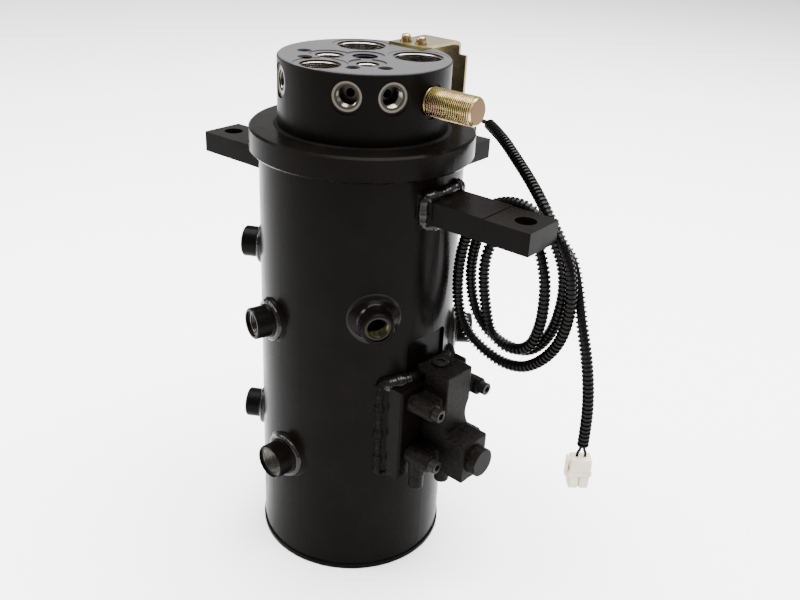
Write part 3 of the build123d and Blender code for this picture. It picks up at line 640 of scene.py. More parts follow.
def in_scene(name: str, data: bpy.types.ID) -> bpy.types.Object:
    """Make an object from its data and put it in the scene.

    Args:
        name: The object's name.
        data: Its mesh, spline, camera or lamp.

    Returns:
        The object.
    """
    made = bpy.data.objects.new(name, data)
    bpy.context.scene.collection.objects.link(made)
    return made


def merge_into(target: Mesh, part: Mesh) -> None:
    """Put a copy of one mesh into another and free it.

    Args:
        target: The mesh that grows.
        part: The mesh that is copied and freed.
    """
    carrier = stored("carrier", part)
    target.from_mesh(carrier)
    bpy.data.meshes.remove(carrier)


def add_piece(
    name: str, mesh: Mesh, finish: Material, body: Body, sharp: float = 35.0
) -> bpy.types.Object:
    """Make a finished piece of the swivel from a mesh.

    Args:
        name: The piece's name.
        mesh: Its shape, in the row frame.
        finish: Its material.
        body: The body that it rides on.
        sharp: Angle in degrees over which an edge stays sharp.

    Returns:
        The piece.
    """
    for face in mesh.faces:
        face.smooth = True
    for edge in mesh.edges:
        edge.smooth = edge.is_manifold and edge.calc_face_angle(0.0) < math.radians(sharp)
    piece = in_scene(name, stored(name, mesh))
    piece.data.materials.append(finish)
    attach(piece, body.value)
    LOG.info("%s: %d faces", name, len(piece.data.polygons))
    return piece


def dress(finish: Material, *nodes: str) -> None:
    """Give CAD nodes a finish.

    Args:
        finish: The material.
        nodes: Names of the nodes.
    """
    for name in nodes:
        for place in bpy.data.objects[name].material_slots:
            place.material = finish
        LOG.info("%s dressed in %s", name, finish.name)


@dataclass
class Viewpoint:
    """The camera, where the photograph was taken from."""

    place: Place = (0.5614, -0.6540, 0.7000)
    lens: float = 40.95
    facing: float = 40.64
    pan: float = 0.05168
    tilt: float = 0.45505
    roll: float = 0.05331

    def build(self) -> None:
        """Make the camera and set it as the scene's."""
        cos, sin = math.cos, math.sin
        turn = Matrix.Rotation(math.radians(self.facing), 3, "Z")
        ahead = turn @ Vector(
            (sin(self.pan) * cos(self.tilt), cos(self.pan) * cos(self.tilt), -sin(self.tilt))
        )
        level = turn @ Vector((cos(self.pan), -sin(self.pan), 0))
        upright = level.cross(ahead)
        right = level * cos(self.roll) + upright * sin(self.roll)
        top = upright * cos(self.roll) - level * sin(self.roll)
        lens = bpy.data.cameras.new("viewpoint")
        lens.lens = self.lens
        camera = in_scene("viewpoint", lens)
        attitude = Matrix((right, top, -ahead)).transposed().to_4x4()
        camera.matrix_world = Matrix.Translation(self.place) @ attitude
        bpy.context.scene.camera = camera


@dataclass(frozen=True)
class Lamp:
    """A soft square lamp."""

    name: str
    place: Place
    size: float
    power: float

    def build(self, target: Place) -> None:
        """Make the lamp.

        Args:
            target: The point that it faces.
        """
        data = bpy.data.lights.new(self.name, "AREA")
        data.size = self.size
        data.energy = self.power
        lamp = in_scene(self.name, data)
        lamp.location = self.place
        lamp.rotation_euler = (Vector(target) - Vector(self.place)).to_track_quat("-Z", "Y").to_euler()


@dataclass
class Studio:
    """A pale floor and soft light."""

    sky: float = 1.0
    floor: Paint = Paint("floor_paint", (0.93, 0.93, 0.93), (0.93, 0.93, 0.93), 0.8)
    floor_size: float = 8.0
    target: Place = (0.05, 0.0, 0.3)
    lamps: tuple[Lamp, ...] = (
        Lamp("key", (-1.3, -0.9, 1.3), 0.6, 30.0),
        Lamp("fill", (1.9, 0.1, 1.1), 0.8, 4.0),
        Lamp("top", (0.2, 0.5, 3.2), 4.0, 900.0),
    )

    def build(self) -> None:
        """Make the sky, the lamps and the floor."""
        world = bpy.data.worlds.new("studio")
        world.use_nodes = True
        backing = world.node_tree.nodes["Background"]
        backing.inputs["Color"].default_value = (1.0, 1.0, 1.0, 1.0)
        backing.inputs["Strength"].default_value = self.sky
        bpy.context.scene.world = world
        for lamp in self.lamps:
            lamp.build(self.target)
        mesh = bmesh.new()
        bmesh.ops.create_grid(mesh, x_segments=2, y_segments=2, size=self.floor_size)
        floor = in_scene("floor", stored("floor", mesh))
        floor.data.materials.append(self.floor.material())


# Middle of the conduit: its upper stretch, its three turns behind the front lug, and its lower stretch, which
# crosses behind the coil before it hangs free
CONDUIT_UPPER: list[Place] = [
    (0.0662, 0.1199, 0.4573), (0.0930, 0.1022, 0.4544), (0.1256, 0.0806, 0.4432),
    (0.1545, 0.0615, 0.4329), (0.1790, 0.0455, 0.4210), (0.1970, 0.0380, 0.4055),
]
CONDUIT_COIL: list[Place] = [
    (0.2095, 0.0334, 0.3955), (0.2198, 0.0310, 0.3816), (0.2252, 0.0310, 0.3664),
    (0.2288, 0.0310, 0.3450), (0.2284, 0.0310, 0.3214), (0.2236, 0.0310, 0.2996),
    (0.2142, 0.0310, 0.2814), (0.2014, 0.0310, 0.2666), (0.1870, 0.0310, 0.2566),
    (0.1673, 0.0310, 0.2529), (0.1482, 0.0310, 0.2569), (0.1312, 0.0310, 0.2639),
    (0.1162, 0.0310, 0.2758), (0.1071, 0.0310, 0.2936), (0.1034, 0.0310, 0.3184),
    (0.1036, 0.0310, 0.3444), (0.1080, 0.0310, 0.3716), (0.1196, 0.0310, 0.3970),
    (0.1382, 0.0310, 0.4134), (0.1572, 0.0310, 0.4196), (0.1742, 0.0316, 0.4184),
    (0.1890, 0.0334, 0.4086), (0.2006, 0.0380, 0.3914), (0.2098, 0.0416, 0.3710),
    (0.2144, 0.0425, 0.3490), (0.2132, 0.0425, 0.3224), (0.2078, 0.0425, 0.3000),
    (0.1980, 0.0425, 0.2812), (0.1830, 0.0425, 0.2682), (0.1606, 0.0425, 0.2656),
    (0.1360, 0.0425, 0.2735), (0.1190, 0.0425, 0.2916), (0.1105, 0.0425, 0.3220),
    (0.1106, 0.0425, 0.3500), (0.1170, 0.0420, 0.3780), (0.1330, 0.0405, 0.3986),
    (0.1552, 0.0364, 0.4084), (0.1740, 0.0334, 0.4028), (0.1872, 0.0314, 0.3880),
    (0.1950, 0.0310, 0.3706), (0.2008, 0.0310, 0.3496), (0.2018, 0.0310, 0.3184),
    (0.1988, 0.0310, 0.2996), (0.1936, 0.0310, 0.2836), (0.1789, 0.0310, 0.2725),
    (0.1603, 0.0310, 0.2725), (0.1456, 0.0310, 0.2836), (0.1404, 0.0310, 0.2996),
    (0.1346, 0.0310, 0.3236), (0.1318, 0.0314, 0.3480), (0.1338, 0.0346, 0.3680),
    (0.1396, 0.0424, 0.3836), (0.1500, 0.0508, 0.3918), (0.1660, 0.0554, 0.3948),
    (0.1820, 0.0556, 0.3918), (0.1980, 0.0550, 0.3852), (0.2110, 0.0536, 0.3754),
]
CONDUIT_TAIL: list[Place] = [
    (0.2210, 0.0486, 0.3630), (0.2318, 0.0418, 0.3410), (0.2406, 0.0370, 0.3180),
    (0.2488, 0.0364, 0.2935), (0.2548, 0.0368, 0.2670), (0.2584, 0.0374, 0.2400),
    (0.2596, 0.0372, 0.2160), (0.2595, 0.0373, 0.1958),
]
# Middle of the pair of wires from the gland to the conduit, and the side on which each one lies
WIRE_MIDDLE: list[Place] = [
    (0.0470, 0.1007, 0.4270), (0.0506, 0.1136, 0.4276), (0.0470, 0.1236, 0.4340),
    (0.0415, 0.1281, 0.4460), (0.0442, 0.1282, 0.4588), (0.0657, 0.1202, 0.4574),
]
WIRE_SIDES: list[Place] = [
    (0.81, -0.38, 0.45), (0.81, -0.19, 0.55), (0.81, -0.19, 0.55), (0.59, 0.8, -0.02),
    (0.57, 0.82, -0.01), (0.57, 0.82, -0.01),
]


def smooth_route(name: str, route: Sequence[Place]) -> list[Vector]:
    """Points along the NURBS spline that has a route's points as its control points.

    Args:
        name: Name for the spline while it is read.
        route: Control points, in metres.

    Returns:
        Points of the smooth line, in metres.
    """
    data = bpy.data.curves.new(name, "CURVE")
    data.dimensions = "3D"
    data.resolution_u = 24
    spline = data.splines.new("NURBS")
    spline.points.add(len(route) - 1)
    for point, place in zip(spline.points, route):
        point.co = (*place, 1.0)
    spline.order_u = 3
    spline.use_endpoint_u = True
    holder = in_scene(name, data)
    bpy.context.view_layer.update()
    read = bpy.data.meshes.new_from_object(holder)
    points = [vertex.co.copy() for vertex in read.vertices]
    bpy.data.meshes.remove(read)
    bpy.data.objects.remove(holder)
    bpy.data.curves.remove(data)
    return points


@dataclass(frozen=True)
class Block:
    """A block with rounded edges: its size, its middle and the radius of its edges, in millimetres."""

    size: Place
    middle: Place
    rounding: float

    def shape(self) -> Mesh:
        """Build the block.

        Returns:
            Its mesh, in metres.
        """
        scale = Matrix.Diagonal((*(Vector(self.size) * MM), 1.0))
        mesh = bmesh.new()
        bmesh.ops.create_cube(mesh, size=1.0, matrix=Matrix.Translation(Vector(self.middle) * MM) @ scale)
        bmesh.ops.bevel(
            mesh,
            geom=mesh.edges[:],
            offset=self.rounding * MM,
            segments=3,
            profile=0.5,
            affect="EDGES",
            material=-1,
        )
        return mesh


@dataclass
class Connector:
    """The two-way connector: a neck, a flange, two sockets side by side, a latch and its root, and a rib."""

    turn: float = 40.6
    top: Place = (0.2595, 0.0373, 0.1838)
    blocks: tuple[Block, ...] = (
        Block((20.6, 14.8, 15.0), (0.0, 0.0, -7.5), 1.6),
        Block((23.4, 13.4, 7.0), (0.0, 0.0, -17.5), 1.6),
        Block((9.9, 14.2, 14.5), (-5.1, 0.0, -26.7), 2.2),
        Block((9.9, 14.2, 14.5), (5.1, 0.0, -26.7), 2.2),
        Block((2.0, 7.2, 21.6), (-12.9, 0.0, -11.0), 0.6),
        Block((3.0, 7.2, 3.0), (-11.2, 0.0, -2.6), 0.6),
        Block((12.0, 1.2, 6.0), (0.0, -7.1, -8.0), 0.4),
    )

    def build(self, finish: Material) -> bpy.types.Object:
        """Build the connector from its blocks.

        Args:
            finish: Ivory plastic.

        Returns:
            The piece.
        """
        whole = bmesh.new()
        for block in self.blocks:
            merge_into(whole, block.shape())
        whole.transform(Matrix.Translation(self.top) @ Matrix.Rotation(math.radians(self.turn), 4, "Z"))
        piece = add_piece("connector_body", whole, finish, Body.HOUSING, sharp=40.0)
        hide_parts("connector")
        return piece


@dataclass
class Wiring:
    """The corrugated conduit and the wires at its ends, in millimetres."""

    radius: float = 5.75
    groove: float = 4.1
    pitch: float = 4.4
    # Where a rib rises and falls, as shares of the pitch, and the recess in each end, as one of the groove
    rib: tuple[float, ...] = (0.28, 0.38, 0.68, 0.78)
    mouth: float = 0.86
    recess: float = 3.0
    sides: int = 16
    wire_radius: float = 1.4
    wire_pitch: float = 2.0
    wire_steps: int = 60
    wire_sides: int = 12

    def corrugation(self, length: float) -> Profile:
        """Profile of the conduit: ribs, with a closed recess at each end.

        Args:
            length: Length of the conduit, in metres.

        Returns:
            Places along it and radii, in metres.
        """
        top, low = self.radius * MM, self.groove * MM
        mouth, depth = self.mouth * low, self.recess * MM
        profile = [(depth, 0.0), (depth, mouth), (0.0, mouth), (0.0, low)]
        ribs = int(length / (self.pitch * MM))
        step = length / ribs
        for number in range(ribs):
            profile += ridge(number * step, step, self.rib, low, top)
        return profile + [(length, low), (length, mouth), (length - depth, mouth), (length - depth, 0.0)]

    def conduit(self, finish: Material, connector: bpy.types.Object) -> None:
        """Build the conduit along its whole route, to the connector.

        Args:
            finish: Black plastic.
            connector: The connector's piece; not used.
        """
        line = Line(smooth_route("conduit_line", CONDUIT_UPPER + CONDUIT_COIL + CONDUIT_TAIL))
        mesh = straight_tube(self.corrugation(line.length), self.sides)
        line.bend(mesh)
        piece = add_piece("conduit", mesh, finish, Body.HOUSING, sharp=70.0)
        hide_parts("conduit_upper", "conduit_coil", "conduit_tail")
        2 * self.radius * MM
        LOG.info("conduit of %.3f m", line.length)

    def upper_wires(self, finish: Material) -> None:
        """Build the two wires from the gland to the conduit.

        Args:
            finish: Black plastic.
        """
        for name, sign in (("a", 1), ("b", -1)):
            route = [
                tuple(Vector(middle) + Vector(side) * sign * self.wire_pitch * MM)
                for middle, side in zip(WIRE_MIDDLE, WIRE_SIDES)
            ]
            line = Line(smooth_route(f"wire_line_{name}", route))
            radius = self.wire_radius * MM
            stations = [line.length * step / self.wire_steps for step in range(self.wire_steps + 1)]
            profile = [(0.0, 0.0)] + [(place, radius) for place in stations] + [(line.length, 0.0)]
            mesh = straight_tube(profile, self.wire_sides)
            line.bend(mesh)
            piece = add_piece(f"upper_wire_{name}", mesh, finish, Body.HOUSING)
            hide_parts(f"wire_upper_{name}")


@dataclass(frozen=True)
class Bore:
    """A threaded bore: its mouth, in metres, which way it opens, and its thread, in millimetres."""

    name: str
    mouth: Vector
    axis: Place
    radius: float
    start: float
    length: float
    body: Body
    backing: float = 0.3
    clear: float = 0.05
    shares: tuple[float, ...] = (0.95, 0.6, 0.4, 0.05)

    def thread(self, finish: Material, pitch: float = 1.8, depth: float = 0.95, sides: int = 56) -> None:
        """Line the bore with its thread's ridges.

        Args:
            finish: Material of the thread.
            pitch: Spacing of the ridges, in millimetres.
            depth: Height of the ridges, in millimetres.
            sides: Steps in the turn.
        """
        wall, root, crest = self.radius + self.backing, self.radius - self.clear, self.radius - depth
        count = int(self.length / pitch)
        profile = [(self.start, wall), (self.start + count * pitch, wall)]
        for number in reversed(range(count)):
            profile += ridge(self.start + number * pitch, pitch, self.shares, root, crest)
        mesh = straight_tube(in_metres([(-along, radius) for along, radius in profile]), sides, ring=True)
        mesh.transform(outward_matrix(tuple(self.mouth), self.axis))
        add_piece(self.name, mesh, finish, self.body, sharp=20.0)


@dataclass(frozen=True)
class TopPort:
    """A port in the head's top: its bearing, its circle, and its bore and spot face, in millimetres."""

    azimuth: float
    circle: float
    radius: float
    spot: float


@dataclass
class Head:
    """The rotor's head with its ports. Lengths in millimetres."""

    top: float = 530.8
    seat: float = 464.0
    top_ports: tuple[TopPort, ...] = (
        TopPort(45.0, 50.0, 23.8, 0.4),
        TopPort(135.0, 50.0, 23.8, 0.6),
        TopPort(-90.5, 60.0, 18.7, 0.8),
        TopPort(-135.0, 33.0, 13.5, 1.0),
        TopPort(0.0, 0.0, 12.2, 1.2),
        TopPort(-45.0, 34.5, 10.6, 1.4),
    )
    front_port: int = 3
    middle_port: int = 5
    rim: float = 0.9
    rim_bottom: float = 480.0
    # Start of a thread behind its port's mouth, and its length
    top_thread: tuple[float, float] = (1.6, 14.0)
    side_thread: tuple[float, float] = (1.2, 11.0)
    side_level: float = 510.0
    side_ports: tuple[float, ...] = (-31.0, -60.0, -120.0, -149.0)
    side_radius: float = 9.5
    side_mouth: float = 79.9
    ring: float = 13.45
    ring_start: float = 57.5
    # Radius of the painted shade inside each side port
    side_shade_radius: float = 11.4

    def skin(self) -> Material:
        """Material of the rotor, with its bores and the rings round its side ports bare, painted shade inside
        the side ports and a turned top painted lighter grey as a painted reflection.

        Returns:
            The material.
        """
        ports = [
            BarePort(
                tuple(polar(port.azimuth, port.circle, self.top)),
                UP,
                (port.radius + self.rim) * MM,
                self.rim_bottom * MM,
            )
            for port in self.top_ports
            if port.circle
        ]
        middle = (0.0, 0.0, self.side_level * MM)
        ring = (self.ring * MM, self.ring_start * MM, self.side_shade_radius * MM)
        ports += [BarePort(middle, out(azimuth), *ring) for azimuth in self.side_ports]
        return PortedPaint("head_paint", tuple(ports), self.seat * MM, self.top * MM).material()

    def build(self, steel: Material, worn: Material, dark: Material, rusty: Material) -> None:
        """Dress the rotor and cut the threads in the head's ports.

        Args:
            steel: Bright bare steel.
            worn: Duller steel, in the side ports.
            dark: Blackened steel, in the middle port.
            rusty: Steel with a reddish film, in the front port.
        """
        dress(self.skin(), "rotor")
        special = {self.front_port: rusty, self.middle_port: dark}
        for number, port in enumerate(self.top_ports, 1):
            mouth = polar(port.azimuth, port.circle, self.top - port.spot)
            bore = Bore(f"top_thread_{number}", mouth, UP, port.radius, *self.top_thread, Body.ROTOR)
            bore.thread(special.get(number, steel))
        for number, azimuth in enumerate(self.side_ports, 1):
            name, mouth = f"side_thread_{number}", polar(azimuth, self.side_mouth, self.side_level)
            bore = Bore(name, mouth, out(azimuth), self.side_radius, *self.side_thread, Body.ROTOR)
            bore.thread(worn, pitch=1.6, depth=0.7)


@dataclass
class Stud:
    """The threaded stud in the head's side, with its chamfered end. Lengths in millimetres."""

    level: float = 502.5
    seat: Profile = ((58.0, 0.0), (58.0, 12.0), (80.5, 12.0), (80.5, 12.9))
    nose: Profile = ((129.2, 12.9), (129.4, 12.9), (130.6, 11.6), (131.0, 11.0), (131.0, 0.0))
    thread_start: float = 81.0
    thread_end: float = 128.6
    crest: float = 13.5
    root: float = 12.35
    pitch: float = 2.0
    shares: tuple[float, ...] = (0.0, 0.3, 0.55, 0.85)
    sides: int = 72

    def build(self, zinc: Material) -> None:
        """Build the stud.

        Args:
            zinc: Its plating.
        """
        profile = list(self.seat)
        place = self.thread_start
        while place < self.thread_end:
            profile += ridge(place, self.pitch, self.shares, self.root, self.crest)
            place += self.pitch
        profile += self.nose
        mesh = straight_tube(in_metres(profile), self.sides)
        mesh.transform(outward_matrix((0.0, 0.0, self.level * MM), ALONG_X))
        piece = add_piece("threaded_stud", mesh, zinc, Body.ROTOR, sharp=25.0)
        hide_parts("drive_stud")


@dataclass(frozen=True)
class Boss:
    """A port boss: its bearing, its level, and the radii of its outside and its bore, in millimetres."""

    azimuth: float
    level: float
    radius: float = 16.0
    bore: float = 10.2


BOSSES: tuple[Boss, ...] = (
    Boss(-151.5, 329.5),
    Boss(-40.0, 305.0),
    Boss(-107.6, 278.0),
    Boss(40.0, 248.0),
    Boss(-150.0, 133.0),
    Boss(-94.3, 128.3, 18.3, 13.9),
)
# Number of the boss beside the front lug, which has a wide, smooth weld
FRONT_BOSS = 2


@dataclass
class Bosses:
    """The port bosses: painted outside, with bare threads inside. Lengths in millimetres."""

    face: float = 122.0
    recess: float = 2.0
    rim: float = 2.65
    rim_start: float = 50.0
    rim_steel: Colour = (0.012, 0.0102, 0.0084)
    # Start of the thread behind the bore's mouth, and its length
    thread: tuple[float, float] = (1.0, 14.5)

    def build(self, steel: Material, green: Material) -> None:
        """Dress the bosses and cut their threads.

        Args:
            steel: Bare steel.
            green: Steel with a greenish yellow film, in the boss beside the front lug.
        """
        for number, boss in enumerate(BOSSES, 1):
            axis = out(boss.azimuth)
            middle = (0.0, 0.0, boss.level * MM)
            port = BarePort(middle, axis, (boss.bore + self.rim) * MM, self.rim_start * MM)
            skin = PortedPaint(f"boss_paint_{number}", (port,), steel=self.rim_steel)
            dress(skin.material(), f"port_boss_{number}")
            mouth = polar(boss.azimuth, self.face - self.recess, boss.level)
            bore = Bore(f"boss_thread_{number}", mouth, axis, boss.bore, *self.thread, Body.HOUSING)
            bore.thread(green if number == FRONT_BOSS else steel, pitch=1.8, depth=0.8)


@dataclass(frozen=True)
class Bead:
    """A weld bead: overlapping ripples of uneven thickness, in millimetres, with shares of its radius."""

    radius: float
    pitch: float = 2.3
    swell: float = 0.13
    uneven: float = 0.2
    phase: float = 0.0
    # How fast two waves of uneven thickness run along the ripples
    waves: tuple[float, float] = (0.83, 0.31)
    # Where a ripple is thinnest, where it has swollen and where it ends, and how thick it is at its end
    stations: tuple[float, float, float] = (0.04, 0.3, 0.72)
    end: float = 1.02
    taper: float = 1.4
    sides: int = 14

    def rounding(self, from_end: float) -> float:
        """Share of its thickness that an open bead has near its end.

        Args:
            from_end: Distance from the nearer end, in metres.

        Returns:
            The share, from zero at the end to one.
        """
        short = max(0.0, 1 - from_end / (self.taper * self.radius * MM))
        return math.sqrt(max(0.0, 1 - short**2))

    def profile(self, length: float, closed: bool) -> Profile:
        """Radius of the bead along its length.

        Args:
            length: Length of the bead, in metres.
            closed: Whether it meets itself, and so has no rounded ends.

        Returns:
            Places along it and radii, in metres.
        """
        count = max(4, round(length / (self.pitch * MM)))
        step = length / count
        shape = [(0.0, 0.0)]
        ripple = tuple(zip(self.stations, (1 - self.swell, 1.0, self.end)))
        fast, slow = self.waves
        for number in range(count):
            wave = math.sin(fast * number + self.phase) * math.sin(slow * number + 2 * self.phase)
            radius = self.radius * MM * (1 + self.uneven * wave)
            shape += [(number * step + share * step, radius * height) for share, height in ripple]
        if not closed:
            shape = [(place, radius * self.rounding(min(place, length - place))) for place, radius in shape]
        return shape + [(length, 0.0)]

    def lay(self, name: str, points: list[Vector], finish: Material, closed: bool = True) -> None:
        """Lay the bead on the housing.

        Args:
            name: The piece's name.
            points: Line that the bead follows, in metres.
            finish: Its material.
            closed: Whether it meets itself.
        """
        line = Line(points, closed)
        mesh = straight_tube(self.profile(line.length, closed), self.sides)
        line.bend(mesh)
        add_piece(name, mesh, finish, Body.HOUSING, sharp=50.0)


@dataclass
class Welds:
    """The weld beads that join the lugs, the bosses and the valve's block to the barrel, in millimetres."""

    barrel: float = 100.0
    corner: float = 5.0
    lugs: tuple[tuple[str, float], ...] = (("front", 0.0), ("rear", 180.0), ("side", 90.0))
    lug_level: float = 408.2
    lug_half_width: float = 27.2
    lug_half_height: float = 13.9
    boss_margin: float = 2.4
    dish_flare: float = 10.5
    dish_height: float = 11.0
    dish_root: float = 3.0
    dish_sides: int = 72
    block_azimuth: float = -3.0
    block_half_width: float = 52.0
    block_bottom: float = 129.5
    block_top: float = 232.5
    block_margin: float = 2.2

    def on_barrel(self, azimuth: float, across: float, level: float, off: float) -> Vector:
        """A point just off the barrel.

        Args:
            azimuth: Angle that the weld faces, in degrees.
            across: Place across that facing.
            level: Level of the point.
            off: Distance from the barrel's surface.

        Returns:
            The point, in metres.
        """
        ahead, aside = Vector(out(azimuth)), Vector(out(azimuth + 90))
        reach = math.sqrt(self.barrel**2 - across**2) + off
        return (ahead * reach + aside * across + Vector((0, 0, level))) * MM

    def rectangle(self, half_width: float, half_height: float, step: float) -> list[tuple[float, float]]:
        """Points round a rectangle with rounded corners.

        Args:
            half_width: Half its width.
            half_height: Half its height.
            step: Spacing of the points.

        Returns:
            Places across and up from its middle.
        """
        points = []
        wide, high = half_width - self.corner, half_height - self.corner
        corners = ((wide, high, 0), (-wide, high, 90), (-wide, -high, 180), (wide, -high, 270))
        for number, (across, up, start) in enumerate(corners):
            for turn in range(0, 91, 18):
                angle = math.radians(start + turn)
                points.append((across + self.corner * math.cos(angle), up + self.corner * math.sin(angle)))
            following = corners[(number + 1) % 4]
            angle = math.radians(start + 90)
            first = points[-1]
            last = (
                following[0] + self.corner * math.cos(angle),
                following[1] + self.corner * math.sin(angle),
            )
            count = int(math.dist(first, last) / step)
            for share in range(1, count):
                part = share / count
                points.append(tuple(near + (far - near) * part for near, far in zip(first, last)))
        return points

    def build(self, paint: Material, smooth: Material, rough: Material) -> None:
        """Lay every bead.

        Args:
            paint: Gloss paint on the beads.
            smooth: Paint on the dressed weld of one boss.
            rough: Coarse paint on the block's bead.
        """
        self.lug_beads(paint)
        for number, boss in enumerate(BOSSES, 1):
            if number == FRONT_BOSS:
                self.dish(f"weld_boss_{number}", boss, smooth)
            else:
                self.boss_bead(number, boss, paint)
        self.block_bead(rough)
        self.block_corner(paint)

    def lug_beads(self, finish: Material) -> None:
        """Lay the beads round the roots of the lugs.

        Args:
            finish: Their material.
        """
        outline = self.rectangle(self.lug_half_width, self.lug_half_height, step=2.5)
        for number, (name, azimuth) in enumerate(self.lugs):
            points = [self.on_barrel(azimuth, across, self.lug_level + up, off=2.4) for across, up in outline]
            bead = Bead(5.4, pitch=4.0, swell=0.035, uneven=0.34, phase=0.7 + number)
            bead.lay(f"weld_lug_{name}", points, finish)

    def boss_bead(self, number: int, boss: Boss, finish: Material) -> None:
        """Lay the bead round one boss.

        Args:
            number: Number of the boss.
            boss: The boss.
            finish: Material of the bead.
        """
        reach = boss.radius + self.boss_margin
        points = []
        for turn in range(180, 540, 8):
            angle = math.radians(turn)
            across, level = reach * math.sin(angle), boss.level + reach * math.cos(angle)
            points.append(self.on_barrel(boss.azimuth, across, level, off=2.2))
        bead = Bead(3.7, pitch=3.2, swell=0.04, uneven=0.1, phase=0.4 * number)
        bead.lay(f"weld_boss_{number}", points, finish)

    def block_bead(self, finish: Material) -> None:
        """Lay the bead round the valve's block.

        Args:
            finish: Its material.
        """
        middle = (self.block_bottom + self.block_top) / 2
        half_height = (self.block_top - self.block_bottom) / 2 + self.block_margin
        outline = self.rectangle(self.block_half_width + self.block_margin, half_height, step=3.0)
        points = [self.on_barrel(self.block_azimuth, across, middle + up, off=2.0) for across, up in outline]
        Bead(4.2, pitch=2.7, swell=0.05, uneven=0.34, phase=1.9).lay("weld_block", points, finish)

    def block_corner(self, finish: Material) -> None:
        """Lay the thick, glossy run at the upper corner of the valve's block.

        Args:
            finish: Its material.
        """
        drop, slope, before, step, run = 0.4, 0.05, 2.0, 3, 34
        points = []
        for along in range(0, run, step):
            across, level = along - self.block_half_width - before, self.block_top - drop + slope * along
            points.append(self.on_barrel(self.block_azimuth, across, level, off=2.0))
        bead = Bead(7.6, pitch=2.6, swell=0.012, uneven=0.26, phase=2.6)
        bead.lay("weld_block_corner", points, finish, closed=False)

    def dish(self, name: str, boss: Boss, finish: Material) -> None:
        """Build the wide, smooth weld round the boss beside the front lug.

        Args:
            name: The piece's name.
            boss: The boss.
            finish: Material of the weld.
        """
        foot, rim = self.barrel - self.dish_root, boss.radius + self.dish_flare
        profile = []
        for turn in range(0, 91, 9):
            angle = math.radians(turn)
            rise, flare = self.dish_height * (1 - math.sin(angle)), self.dish_flare * (1 - math.cos(angle))
            profile.append((self.barrel + rise, boss.radius + flare))
        profile += [(foot, rim), (foot, boss.radius)]
        mesh = straight_tube(in_metres(profile), self.dish_sides, ring=True)
        for vertex in mesh.verts:
            reach = math.hypot(vertex.co.y, vertex.co.z) / MM
            share = min(max((reach - boss.radius) / self.dish_flare, 0.0), 1.0)
            drop = self.barrel - math.sqrt(self.barrel**2 - (vertex.co.y / MM) ** 2)
            vertex.co.x -= drop * share * MM
        bmesh.ops.recalc_face_normals(mesh, faces=mesh.faces)
        mesh.transform(outward_matrix((0.0, 0.0, boss.level * MM), out(boss.azimuth)))
        add_piece(name, mesh, finish, Body.HOUSING, sharp=50.0)


@dataclass
class Valve:
    """The cast valve: its body with rounded edges and a waist, and its plugs and bolts, in millimetres."""

    facing: float = -3.0
    voxel: float = 1.1
    rounds: int = 4
    waist: float = 4.2
    waist_bottom: float = 184.0
    waist_top: float = 212.0
    waist_side: float = 6.0
    waist_run: float = 12.0
    waist_back: float = 113.0

    def rounded(self, node: str) -> Mesh:
        """Copy a CAD node's shape with its edges rounded as a casting's are.

        Args:
            node: The node's name.

        Returns:
            The rounded mesh.
        """
        rough = bmesh.new()
        rough.from_mesh(bpy.data.objects[node].data)
        bmesh.ops.remove_doubles(rough, verts=rough.verts, dist=1e-6)
        data = stored("casting_copy", rough)
        holder = in_scene("casting_copy", data)
        skin = holder.modifiers.new("skin", "REMESH")
        skin.mode = "VOXEL"
        skin.voxel_size = self.voxel * MM
        read = bpy.data.meshes.new_from_object(holder.evaluated_get(bpy.context.evaluated_depsgraph_get()))
        mesh = bmesh.new()
        mesh.from_mesh(read)
        bpy.data.meshes.remove(read)
        bpy.data.objects.remove(holder)
        bpy.data.meshes.remove(data)
        for _ in range(self.rounds):
            bmesh.ops.smooth_vert(
                mesh, verts=mesh.verts, factor=0.5, use_axis_x=True, use_axis_y=True, use_axis_z=True
            )
        return mesh

    def pull_waist(self, mesh: Mesh) -> None:
        """Draw in the side of the body between its upper ear and its lower block.

        Args:
            mesh: The body's mesh.
        """
        ahead, aside = Vector(out(self.facing)), Vector(out(self.facing + 90))
        middle = (self.waist_top + self.waist_bottom) / 2
        half = (self.waist_top - self.waist_bottom) / 2
        for vertex in mesh.verts:
            forward, across, level = vertex.co.dot(ahead) / MM, vertex.co.dot(aside) / MM, vertex.co.z / MM
            if across < self.waist_side or abs(level - middle) > half or forward < self.waist_back:
                continue
            share = min(1.0, (across - self.waist_side) / self.waist_run)
            share *= math.cos(math.pi / 2 * (level - middle) / half)
            vertex.co -= aside * self.waist * share * MM

    def build(self, casting: Material, steel: Material) -> None:
        """Build the body and dress the fittings on it.

        Args:
            casting: Rough painted iron.
            steel: Black steel of the bolts and plugs.
        """
        mesh = self.rounded("valve_body")
        self.pull_waist(mesh)
        piece = add_piece("valve_casting", mesh, casting, Body.HOUSING, sharp=50.0)
        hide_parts("valve_body")
        dress(casting, "valve_cap", "valve_foot_plugs")
        dress(steel, "valve_bolts", "valve_top_plug")


